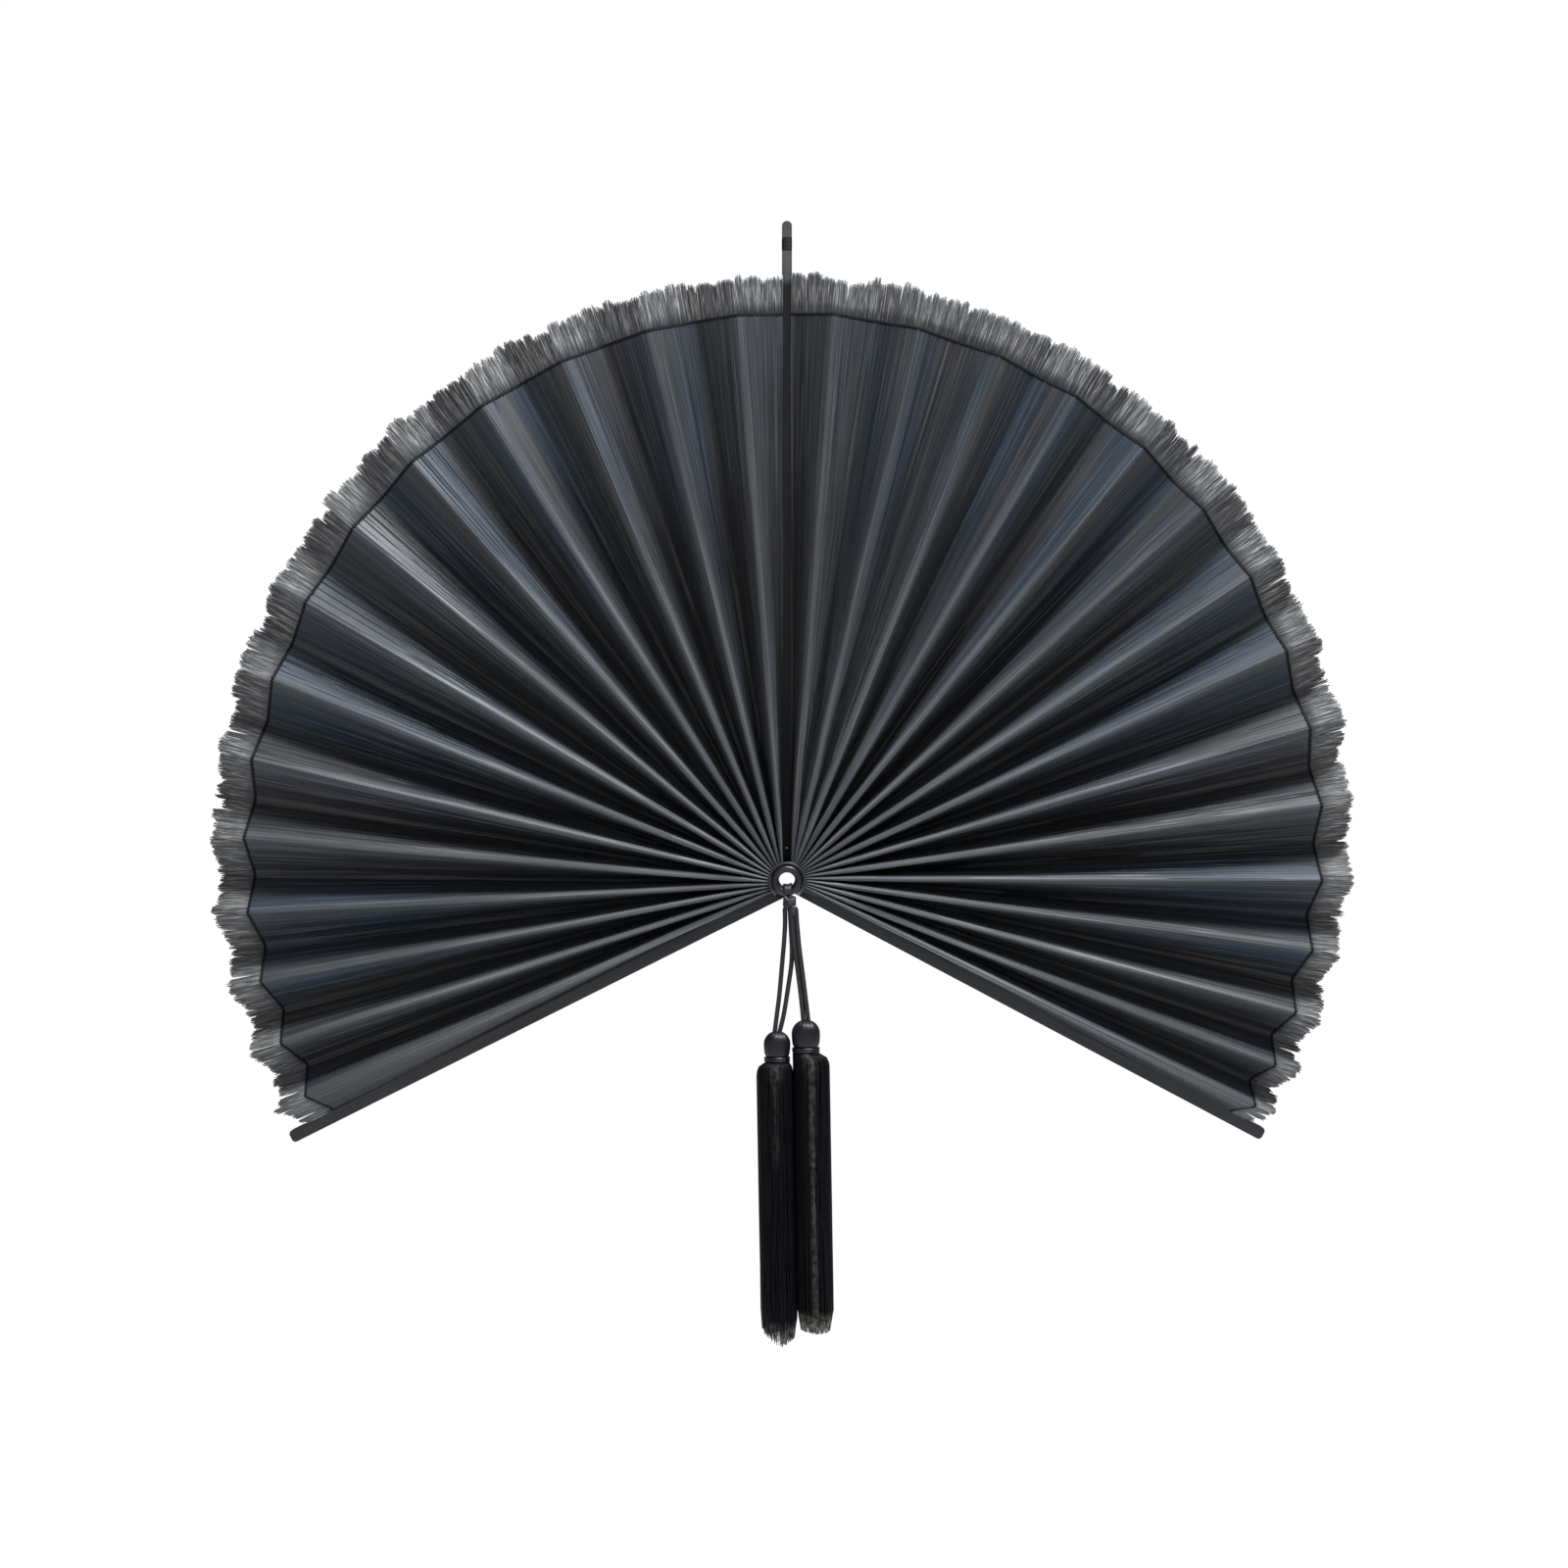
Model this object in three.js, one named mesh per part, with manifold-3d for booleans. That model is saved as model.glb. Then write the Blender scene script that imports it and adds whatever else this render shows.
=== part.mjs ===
// Woven wall fan: a pleated leaf of fine dark woven splint, opened round a hub tube and
// held by three sticks, with two thread tassels hanging from the hub on doubled cords.
//
// Millimetres, +Z up, +X to the viewer's right, the wall is the plane y = 0 and the viewer
// is on the -Y side. The origin is the place on the back of the upright stick where the
// fan hangs. Azimuths are measured at the hub from straight up, growing outwards on both sides.
//
// The leaf is a long mat folded into flat strips of one width. At the hub the strips stand on
// edge, packed side by side; towards the rim they open like an accordion. A strip keeps its
// width, so the height of a ridge follows from how far apart its two valleys lie there.

import * as THREE from 'three';
import { mergeVertices } from 'three/addons/utils/BufferGeometryUtils.js';
import Module from 'manifold-3d';

const wasm = await Module();
wasm.setup();

// Clearances
const GAP = 0.3; // between pieces that touch on the real fan

// The leaf
const RIM_RIDGE = 13.81; // how high the widest open pleat still stands at the rim
const STRIP_THICKNESS = 0.8; // the woven sheet
const CENTRE_RADIUS = 479; // hub to the loose splint ends, straight up
const END_RADIUS = { left: 440, right: 426 }; // the same beside the two guard sticks
const PLEATS = { left: 14, right: 15 };
const CLOSING = 0.1; // how much closer the last folds lie than the first
const CLOSING_POWER = { left: 4, right: 6 }; // how late that closing sets in
const SCALLOP_CENTRE = 0.5; // a valley ends this much short of its ridge, straight up
const SCALLOP_END = 10; // the same beside the guards
const LAP = 0.9; // the leaf's glued edge lies this far over a stick
const STATIONS = 8; // steps along one pleat
const STATION_POWER = 1.35; // closer steps near the hub

// The three sticks
const STICK_WIDTH = 8;
const STICK_TOP = 18.4; // tip above the hanging place
const HUB_DROP = 506; // hanging place down to the hub's centre
const GUARD_WIDTH = 10;
const GUARD_LENGTH = { left: 446, right: 431 };
const GUARD_AZIMUTH = { left: 116.6, right: 117.9 };
const GUARD_OUTSIDE = { left: 12.4, right: 7.6 }; // outer edge past the hub's centre line
const GUARD_TIP_RADIUS = 3.2;
const FOLDED_AZIMUTH = 10; // where a guard stops when its side is folded
const EYE_RADIUS = 11;
const EYE_THICKNESS = 2.1;
const THIN_RADIUS = 16; // a stick is thinned to its eye's layer this far out

// The hub tube and its washer
const BORE_RADIUS = 6.4;
const SHANK_RADIUS = 7.4; // the sticks' eyes turn on this
const TUBE_RADIUS = 11.4; // the strips are gathered round this
const LIP_OVERHANG = 0.6; // the lip's radius past the tube's
const WASHER_THICKNESS = 1.2;
const START_GAP = 0.5; // tube to the strips' inner ends

// The pin in the upright stick, above the hub
const PIN_HEIGHT = 24.2;
const PIN_RADIUS = 1.5;
const PIN_LENGTH = 7;

// The thread binding below the stick's tip
const BINDING_HEIGHT = 10;
const BINDING_DEPTH = 0.9;

// The gathering cord round the hub's front
const GATHER_STEP = 2.4; // the cord's middle past the tube's outside
const GATHER_CORD = 2.2;
const GATHER_AZIMUTH = 143; // where its two ends lie

// The hitch that carries the tassels, two cords side by side seen as one flat band
const HITCH_WIDTH = 6;
const HITCH_THICKNESS = 2.6;
const HITCH_WALL_GAP = 0.6;
const HITCH_X = 0.5; // a little right of the hub's middle
const HITCH_LIFT = 0.5; // extra room over the lip, whose ring curves up beside the band
const HITCH_DROP = 15.8; // hub centre down to the run under the sticks
const KNOT = { x: 5.2, y: 3.4, z: 4.6 }; // half sizes
const KNOT_X = 2;
const KNOT_DROP = 16;

// The tassels
const CORD = 3.4;
const LEG_SPREAD = 1.9; // a cord's two legs stand this far each side of the ball's middle
const RING_INSET = 0.2; // the neck ring is this much slimmer than its ball
const RING_HEIGHT = 4.6;
const NECK_RADIUS = 6.2;
const SEAT_CUT = 1.2; // the flat under a ball, on which the skirt's neck bears
const NECK_INSET = 1; // a skirt starts this much slimmer than its ball
const SKIRT_RADIUS = 13.9;
const SHOULDER = 11; // height over which the skirt rounds out
const FLUTES = 12;
const FLUTE_DEPTH = 0.6;
const TIP_SHARE = 0.45; // of the radius that is left at the ends of the threads
const TASSELS = {
  left: { x: -7.7, z: -127.6, ball: 10.5, skirtX: -9.6, lean: 3.8, bottom: -363, rounded: 24 },
  right: { x: 14.8, z: -119.5, ball: 11.2, skirtX: 18.8, lean: 3.8, bottom: -353.5, rounded: 11 },
};

// Radii at the hub, which follow from the tube's
const LIP_RADIUS = TUBE_RADIUS + LIP_OVERHANG;
const LIP_BEAD = (LIP_RADIUS - BORE_RADIUS) / 2; // radius of the lip's round section
const LIP_MIDDLE = (LIP_RADIUS + BORE_RADIUS) / 2;
const START_RADIUS = TUBE_RADIUS + START_GAP;
const GATHER_RADIUS = TUBE_RADIUS + GATHER_STEP;

const SIDES = ['left', 'right'];
const SIGN = { left: -1, right: 1 };
const EYE_LAYER = { stick: 0, left: 1, right: 2 }; // which of the three thin eyes, from the back
const rad = THREE.MathUtils.degToRad;
const pad = (number) => String(number).padStart(2, '0');

// The leaf's plan, seen from the front

// A point seen from the hub: so far out along an azimuth, and so far past that line.
function polar(side, azimuth, radius, past = 0) {
  const turn = rad(azimuth);
  return new THREE.Vector2(
    SIGN[side] * (radius * Math.sin(turn) + past * Math.cos(turn)),
    radius * Math.cos(turn) - past * Math.sin(turn),
  );
}

// How far the leaf's last edge passes outside the hub's centre, lapped onto its guard.
const edgePast = (side) => GUARD_OUTSIDE[side] - GUARD_WIDTH + LAP;
const firstPast = STICK_WIDTH / 2 - LAP;

// The azimuth of a place on the leaf, from 0 at the upright stick to 1 at the guard.
function rimAzimuth(side, share) {
  const first = THREE.MathUtils.radToDeg(Math.asin(firstPast / CENTRE_RADIUS));
  const swing = THREE.MathUtils.radToDeg(Math.asin(edgePast(side) / END_RADIUS[side]));
  const last = GUARD_AZIMUTH[side] + swing;
  const eased = (share - CLOSING * share ** CLOSING_POWER[side]) / (1 - CLOSING);
  return first + (last - first) * eased;
}

function hubAzimuth(side, share) {
  const first = THREE.MathUtils.radToDeg(Math.asin(firstPast / START_RADIUS));
  const swing = THREE.MathUtils.radToDeg(Math.asin(edgePast(side) / START_RADIUS));
  return THREE.MathUtils.lerp(first, GUARD_AZIMUTH[side] + swing, share);
}

function rimRadius(side, azimuth, valley) {
  const share = (azimuth / GUARD_AZIMUTH[side]) ** 2;
  const ridge = THREE.MathUtils.lerp(CENTRE_RADIUS, END_RADIUS[side], share);
  return valley ? ridge - THREE.MathUtils.lerp(SCALLOP_CENTRE, SCALLOP_END, share) : ridge;
}

// A fold is a straight line from its place in the gathered stack to its place on the rim.
function foldPoint(side, share, along, valley) {
  const azimuth = rimAzimuth(side, share);
  const inner = polar(side, hubAzimuth(side, share), START_RADIUS);
  const outer = polar(side, azimuth, rimRadius(side, azimuth, valley));
  return inner.lerp(outer, along);
}

// At the rim the strips lie flattest in the widest pleat, whose ridge still stands a little
// in front of its valleys. That pleat gives the width of every strip.
function stripWidth() {
  const halves = SIDES.flatMap((side) => Array.from({ length: PLEATS[side] }, (_, i) => {
    const [a, b] = [i, i + 1].map((fold) => foldPoint(side, fold / PLEATS[side], 1, true));
    return a.distanceTo(b) / 2;
  }));
  return Math.hypot(Math.max(...halves), RIM_RIDGE);
}

const STRIP_WIDTH = stripWidth();

// Depths, worked out from the wall forwards
const BACK_ROOM = HITCH_WALL_GAP + HITCH_THICKNESS + GAP + WASHER_THICKNESS + GAP;
const STICK_DEPTH = BACK_ROOM + 3 * EYE_THICKNESS + 2 * GAP;
const LEAF_BACK = -(STICK_DEPTH + GAP);
const LEAF_FRONT = LEAF_BACK - STRIP_WIDTH;
const LIP_Y = LEAF_FRONT - GAP;
const OVER_LIP = LIP_BEAD + GAP + HITCH_THICKNESS / 2 + HITCH_LIFT; // the hitch's round path
const KNOT_Y = LIP_Y - OVER_LIP;
const TASSEL_Y = KNOT_Y;

const splint = { color: 0x34373c, roughness: 0.62, metalness: 0 };
const stickWood = { color: 0x2b2c30, roughness: 0.5, metalness: 0 };
const hubWood = { color: 0x232428, roughness: 0.38, metalness: 0 };
const pinSteel = { color: 0x8c8f96, roughness: 0.35, metalness: 1 };
const darkCord = { color: 0x3b3d47, roughness: 0.7, metalness: 0 };
const satinThread = { color: 0x24262e, roughness: 0.45, metalness: 0 };

// Everything but the origin is measured from the hub, so one group carries it all.
const fan = new THREE.Group();
const hub = new THREE.Group();
hub.position.z = -HUB_DROP;
fan.add(hub);

function add(name, geometry, look) {
  const mesh = new THREE.Mesh(geometry, new THREE.MeshStandardMaterial(look));
  mesh.name = name;
  hub.add(mesh);
  return mesh;
}

// Solid helpers

function bare(geometry) {
  const copy = geometry.clone();
  copy.deleteAttribute('normal');
  copy.deleteAttribute('uv');
  return mergeVertices(copy, 1e-5);
}

function toSolid(geometry) {
  const merged = bare(geometry);
  return new wasm.Manifold(new wasm.Mesh({
    numProp: 3,
    vertProperties: new Float32Array(merged.attributes.position.array),
    triVerts: new Uint32Array(merged.index.array),
  }));
}

function toGeometry(solid) {
  const mesh = solid.getMesh();
  const geometry = new THREE.BufferGeometry();
  geometry.setAttribute('position', new THREE.BufferAttribute(mesh.vertProperties, 3));
  geometry.setIndex(new THREE.BufferAttribute(mesh.triVerts, 1));
  geometry.computeVertexNormals();
  return geometry;
}

// Six times the volume of a closed triangle mesh; below zero when its faces point inwards.
function signedVolume(points, triangles) {
  return triangles.reduce(
    (sum, [a, b, c]) => sum + points[a].dot(new THREE.Vector3().crossVectors(points[b], points[c])),
    0,
  );
}

// A closed skin over rings of points, with the given triangles as each end's cap. Four-sided
// patches are split into two triangles; those of the turned sides along the other diagonal.
function loft(rings, cap, turned = []) {
  const count = rings[0].length;
  const points = rings.flat();
  const last = (rings.length - 1) * count;
  const triangles = [];
  for (let ring = 0; ring + 1 < rings.length; ring += 1) {
    for (let i = 0; i < count; i += 1) {
      const a = ring * count + i;
      const b = ring * count + ((i + 1) % count);
      const [near, far] = turned.includes(i) ? [b, a] : [a, b];
      const patch = [[near, far, far + count], [near, far + count, near + count]];
      triangles.push(...(near === a ? patch : patch.map(([p, q, r]) => [p, r, q])));
    }
  }
  cap.forEach(([a, b, c]) => triangles.push([a, c, b], [last + a, last + b, last + c]));
  const outward = signedVolume(points, triangles) > 0;
  const order = outward ? triangles : triangles.map(([a, b, c]) => [a, c, b]);
  const geometry = new THREE.BufferGeometry().setFromPoints(points);
  geometry.setIndex(order.flat());
  geometry.computeVertexNormals();
  return geometry;
}

// Fan triangles for the cap of a ring that is convex enough to be seen from its first point.
function fanCap(count) {
  return Array.from({ length: count - 2 }, (_, i) => [0, i + 1, i + 2]);
}

// An outline in the plane of the wall, given thickness from yBack forwards to yFront.
function plate(shape, yFront, yBack) {
  const geometry = new THREE.ExtrudeGeometry(shape, {
    depth: yBack - yFront,
    bevelEnabled: false,
    curveSegments: 12,
  });
  geometry.rotateX(Math.PI / 2);
  geometry.translate(0, yBack, 0);
  return geometry;
}

function disc(radius, yFront, yBack, x = 0, z = 0) {
  const geometry = new THREE.CylinderGeometry(radius, radius, yBack - yFront, 32);
  geometry.translate(x, (yFront + yBack) / 2, z);
  return geometry;
}

function ovalShape(halfWidth, halfHeight, sides) {
  const shape = new THREE.Shape();
  for (let i = 0; i < sides; i += 1) {
    const turn = (2 * Math.PI * i) / sides;
    const x = halfWidth * Math.cos(turn);
    const y = halfHeight * Math.sin(turn);
    if (i === 0) shape.moveTo(x, y);
    else shape.lineTo(x, y);
  }
  shape.closePath();
  return shape;
}

function tube(path, shape, steps) {
  return new THREE.ExtrudeGeometry(shape, { steps, extrudePath: path, bevelEnabled: false });
}

// The leaf

// One cut across a pleat: ridge in front, its two strips running back to the valleys.
// The order is outer left foot, ridge, outer right foot, inner right foot, notch, inner left foot.
function pleatSection(side, index, along) {
  const count = PLEATS[side];
  const a = foldPoint(side, (index - 1) / count, along, true);
  const b = foldPoint(side, index / count, along, true);
  const ridge = foldPoint(side, (index - 0.5) / count, along, false);
  const half = a.distanceTo(b) / 2;
  const height = Math.sqrt(STRIP_WIDTH ** 2 - half ** 2);
  const foot = Math.min((STRIP_THICKNESS * STRIP_WIDTH) / height, half - GAP);
  const notch = Math.max(height - (STRIP_THICKNESS * STRIP_WIDTH) / half, 2 * STRIP_THICKNESS);
  const base = (from, to, inset) => from.clone().lerp(to, inset / (2 * half));
  const place = (point, forwards) => new THREE.Vector3(point.x, LEAF_BACK - forwards, point.y);
  return [
    place(base(a, b, GAP / 2), 0),
    place(ridge, height),
    place(base(b, a, GAP / 2), 0),
    place(base(b, a, foot), 0),
    place(base(a, b, half), notch),
    place(base(a, b, foot), 0),
  ];
}

// A strip twists as it opens, so its front and its back are split alike and stay one thickness.
function pleat(side, index) {
  const cap = [[0, 1, 4], [0, 4, 5], [1, 2, 3], [1, 3, 4]];
  const likeTheFront = [1, 4];
  const rings = Array.from({ length: STATIONS + 1 }, (_, i) => {
    return pleatSection(side, index, (1 - i / STATIONS) ** STATION_POWER);
  });
  return loft(rings, cap, likeTheFront);
}

function addLeaf() {
  SIDES.forEach((side) => {
    for (let index = 1; index <= PLEATS[side]; index += 1) {
      add(`${side}_pleat_${pad(index)}`, pleat(side, index), splint);
    }
  });
}

// The sticks

function eyeLayer(which) {
  const yBack = -BACK_ROOM - EYE_LAYER[which] * (EYE_THICKNESS + GAP);
  return { yFront: yBack - EYE_THICKNESS, yBack };
}

// A stick is thinned to one layer round the hub, so that all three turn on the same shank.
function thinAtHub(blank, which) {
  const { yFront, yBack } = eyeLayer(which);
  const reach = STICK_DEPTH + 1;
  const front = toSolid(disc(THIN_RADIUS, -reach, yFront));
  const back = toSolid(disc(THIN_RADIUS, yBack, 1));
  const bore = toSolid(disc(SHANK_RADIUS + GAP, -reach, 1));
  return toSolid(blank).subtract(front).subtract(back).subtract(bore);
}

// The upright stick without its eye: a lath with a rounded tip.
function uprightOutline() {
  const half = STICK_WIDTH / 2;
  const top = HUB_DROP + STICK_TOP;
  const shape = new THREE.Shape();
  shape.moveTo(-half, 0);
  shape.lineTo(half, 0);
  shape.lineTo(half, top - half);
  shape.absarc(0, top - half, half, 0, Math.PI, false);
  shape.closePath();
  return shape;
}

// A frame that cuts the binding's shallow seat round the stick.
function bindingFrame(clearance) {
  const outer = STICK_WIDTH;
  const half = STICK_WIDTH / 2 - BINDING_DEPTH - clearance;
  const tall = BINDING_HEIGHT + 2 * clearance;
  const ring = new THREE.BoxGeometry(2 * outer, 2 * STICK_DEPTH, tall);
  ring.translate(0, -STICK_DEPTH / 2, HUB_DROP);
  const core = new THREE.BoxGeometry(2 * half, STICK_DEPTH - 2 * BINDING_DEPTH - 2 * clearance, tall * 2);
  core.translate(0, -STICK_DEPTH / 2, HUB_DROP);
  return toSolid(ring).subtract(toSolid(core));
}

function addUpright() {
  const eye = toSolid(disc(EYE_RADIUS, -STICK_DEPTH, 0));
  const lath = toSolid(plate(uprightOutline(), -STICK_DEPTH, 0));
  const blank = toGeometry(lath.add(eye));
  const seat = bindingFrame(GAP);
  const pinHole = toSolid(disc(PIN_RADIUS + GAP, -STICK_DEPTH - 1, -STICK_DEPTH + PIN_LENGTH, 0, PIN_HEIGHT));
  add('hanging_stick', toGeometry(thinAtHub(blank, 'stick').subtract(seat).subtract(pinHole)), stickWood);
  const pin = disc(PIN_RADIUS, -STICK_DEPTH, -STICK_DEPTH + PIN_LENGTH - GAP, 0, PIN_HEIGHT);
  add('stick_pin', pin, pinSteel);
}

// The thread binding fills its seat and stands flush with the stick's faces.
function addBinding() {
  const block = new THREE.BoxGeometry(STICK_WIDTH, STICK_DEPTH, BINDING_HEIGHT);
  block.translate(0, -STICK_DEPTH / 2, HUB_DROP);
  const halfCore = STICK_WIDTH / 2 - BINDING_DEPTH;
  const core = new THREE.BoxGeometry(2 * halfCore, STICK_DEPTH - 2 * BINDING_DEPTH, 2 * BINDING_HEIGHT);
  core.translate(0, -STICK_DEPTH / 2, HUB_DROP);
  add('stick_binding', toGeometry(toSolid(block).subtract(toSolid(core))), satinThread);
}

// A guard's inner edge is relieved where it would meet the upright stick when folded.
function guardOutline(side) {
  const azimuth = GUARD_AZIMUTH[side];
  const outside = GUARD_OUTSIDE[side];
  const inside = outside - GUARD_WIDTH;
  const folded = rad(FOLDED_AZIMUTH);
  const stickSide = STICK_WIDTH / 2 + GAP;
  const near = EYE_RADIUS * 0.6;
  const relief = (along) => (stickSide - along * Math.sin(folded)) / Math.cos(folded);
  const meets = (stickSide - inside * Math.cos(folded)) / Math.sin(folded);
  const length = Math.sqrt(GUARD_LENGTH[side] ** 2 - outside ** 2);
  const tip = GUARD_TIP_RADIUS;
  const corners = [[near, outside], [near, relief(near)], [meets, inside], [length - tip, inside]];
  for (let i = 1; i <= 4; i += 1) {
    const turn = (i * Math.PI) / 8;
    corners.push([length - tip + tip * Math.sin(turn), inside + tip * (1 - Math.cos(turn))]);
  }
  for (let i = 0; i <= 4; i += 1) {
    const turn = (i * Math.PI) / 8;
    corners.push([length - tip + tip * Math.cos(turn), outside - tip * (1 - Math.sin(turn))]);
  }
  const shape = new THREE.Shape();
  corners.forEach(([along, past], i) => {
    const point = polar(side, azimuth, along, past);
    if (i === 0) shape.moveTo(point.x, point.y);
    else shape.lineTo(point.x, point.y);
  });
  shape.closePath();
  return shape;
}

function addGuards() {
  const clearOfWall = -GAP;
  SIDES.forEach((side) => {
    const arm = toSolid(plate(guardOutline(side), -STICK_DEPTH, clearOfWall));
    const eye = toSolid(disc(EYE_RADIUS, -STICK_DEPTH, clearOfWall));
    add(`${side}_guard`, toGeometry(thinAtHub(toGeometry(arm.add(eye)), side)), stickWood);
  });
}

// The hub

// The tube's section, turned round the Y axis: bore, rolled front lip, body, back shank.
function addHubTube() {
  const back = -BACK_ROOM + GAP + WASHER_THICKNESS;
  const profile = [new THREE.Vector2(BORE_RADIUS, back)];
  for (let i = 0; i <= 8; i += 1) {
    const turn = (i * Math.PI) / 8;
    const radius = LIP_MIDDLE - LIP_BEAD * Math.cos(turn);
    profile.push(new THREE.Vector2(radius, LIP_Y - LIP_BEAD * Math.sin(turn)));
  }
  profile.push(
    new THREE.Vector2(TUBE_RADIUS, LIP_Y + GAP),
    new THREE.Vector2(TUBE_RADIUS, LEAF_BACK),
    new THREE.Vector2(SHANK_RADIUS, LEAF_BACK),
    new THREE.Vector2(SHANK_RADIUS, back),
    new THREE.Vector2(BORE_RADIUS, back),
  );
  add('hub_tube', toGeometry(toSolid(new THREE.LatheGeometry(profile, 32))), hubWood);
}

function addWasher() {
  const front = -BACK_ROOM + GAP;
  const ring = toSolid(disc(EYE_RADIUS, front, front + WASHER_THICKNESS));
  const hole = toSolid(disc(SHANK_RADIUS + GAP, front - 1, front + WASHER_THICKNESS + 1));
  add('back_washer', toGeometry(ring.subtract(hole)), hubWood);
}

function addGatheringCord() {
  const points = Array.from({ length: 25 }, (_, i) => {
    const azimuth = GATHER_AZIMUTH * (i / 12 - 1);
    const spot = polar('right', azimuth, GATHER_RADIUS);
    return new THREE.Vector3(spot.x, LEAF_FRONT - GAP - GATHER_CORD / 2, spot.y);
  });
  const path = new THREE.CatmullRomCurve3(points);
  add('gathering_cord', tube(path, ovalShape(GATHER_CORD / 2, GATHER_CORD / 2, 8), 36), darkCord);
}

// The hitch goes over the lip, through the bore, down behind the washer and forwards again
// under the sticks, with both its ends at the knot. Each place is a depth and a height.
function addHitch() {
  const half = HITCH_THICKNESS / 2;
  const inBore = -BORE_RADIUS + GAP + half + HITCH_LIFT / 2;
  const behind = -HITCH_WALL_GAP - half;
  const corner = half + GAP;
  const route = [
    [KNOT_Y, -KNOT_DROP + KNOT.z + GAP],
    [LIP_Y - OVER_LIP, -LIP_MIDDLE + 0.8],
    [LIP_Y - OVER_LIP * 0.72, -LIP_MIDDLE + OVER_LIP * 0.72],
    [LIP_Y + 0.5, inBore + HITCH_LIFT],
    [LIP_Y * 0.75, inBore],
    [LIP_Y * 0.25, inBore],
    [behind - corner, inBore],
    [behind - corner * 0.3, inBore - corner * 0.3],
    [behind, inBore - corner],
    [behind, -HITCH_DROP + 3.4],
    [behind - 1.4, -HITCH_DROP + 0.5],
    [behind - 5, -HITCH_DROP],
    [LIP_Y * 0.5, -HITCH_DROP],
    [KNOT_Y + KNOT.y + GAP, -HITCH_DROP + 0.3],
  ];
  const path = new THREE.CatmullRomCurve3(route.map(([y, z]) => new THREE.Vector3(HITCH_X, y, z)));
  add('cord_hitch', tube(path, ovalShape(HITCH_WIDTH / 2, half, 8), 40), darkCord);
}

// The knot is a ball pressed square, so that both cords' bights bear on its underside.
function addKnot() {
  const knot = bare(new THREE.SphereGeometry(1, 16, 10));
  const spots = knot.attributes.position;
  for (let i = 0; i < spots.count; i += 1) {
    const spot = new THREE.Vector3().fromBufferAttribute(spots, i);
    const reach = (spot.x ** 4 + spot.y ** 4 + spot.z ** 4) ** 0.25;
    spots.setXYZ(i, ...spot.divideScalar(reach).toArray());
  }
  knot.scale(KNOT.x, KNOT.y, KNOT.z);
  knot.translate(KNOT_X, KNOT_Y, -KNOT_DROP);
  knot.computeVertexNormals();
  add('cord_knot', knot, darkCord);
}

// Each tassel hangs on a doubled cord. A leg's places are right of the hub, behind the
// tassels' plane and above the hub, from the bight under the knot down to the ball.
const LEGS = {
  left: [
    [[-1.6, 1.9, -34], [-2.6, 1.9, -48], [-4.1, 1.7, -62], [-6.6, 0.8, -88], [-8.6, 0.2, -105]],
    [[3.2, 1.9, -40], [4, 1.9, -54], [3.4, 1.7, -66], [0.8, 0.8, -83], [-3.2, 0.2, -104]],
  ],
  right: [
    [[4.4, -1.9, -35], [6, -1.9, -52], [8.3, -1.5, -70], [11, -0.6, -92]],
    [[8.2, -1.9, -35], [9.8, -1.9, -52], [12.1, -1.5, -70], [14.8, -0.6, -92]],
  ],
};
const BIGHT = { left: [0.3, 1.9], right: [5.2, -1.9] };

function addTasselCord(side) {
  const { x, z, ball } = TASSELS[side];
  const [bightX, bightY] = BIGHT[side];
  const top = -KNOT_DROP - KNOT.z - GAP - CORD / 2;
  const bight = new THREE.SphereGeometry(1, 10, 6);
  bight.scale(LEG_SPREAD + CORD / 2, CORD / 2, CORD / 2);
  bight.translate(bightX, TASSEL_Y + bightY, top);
  const seat = z + ball + GAP;
  const whole = [-1, 1].reduce((solid, way, i) => {
    const start = [bightX + way * LEG_SPREAD, bightY, top - 0.4];
    const end = [x + way * LEG_SPREAD, 0, seat];
    const places = [start, ...LEGS[side][i], end];
    const path = new THREE.CatmullRomCurve3(
      places.map(([right, behind, up]) => new THREE.Vector3(right, TASSEL_Y + behind, up)),
    );
    return solid.add(toSolid(tube(path, ovalShape(CORD / 2, CORD / 2, 8), 14)));
  }, toSolid(bight));
  add(`${side}_tassel_cord`, toGeometry(whole), darkCord);
}

// How far the middle of the neck ring lies below its ball's centre.
const ringDrop = (side) => TASSELS[side].ball - SEAT_CUT + (RING_HEIGHT + GAP) / 2;

// The ball's seat is flat, so that the skirt's neck can stand against it.
function addBall(side) {
  const { x, z, ball } = TASSELS[side];
  const seat = SEAT_CUT - ball;
  const seatTurn = Math.acos(seat / ball);
  const profile = [new THREE.Vector2(0, seat)];
  for (let i = 10; i >= 1; i -= 1) {
    const turn = (seatTurn * i) / 10;
    profile.push(new THREE.Vector2(ball * Math.sin(turn), ball * Math.cos(turn)));
  }
  profile.push(new THREE.Vector2(0, ball));
  const geometry = new THREE.LatheGeometry(profile, 24);
  geometry.rotateX(Math.PI / 2);
  geometry.translate(x, TASSEL_Y, z);
  add(`${side}_tassel_ball`, toGeometry(toSolid(geometry)), satinThread);
}

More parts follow.
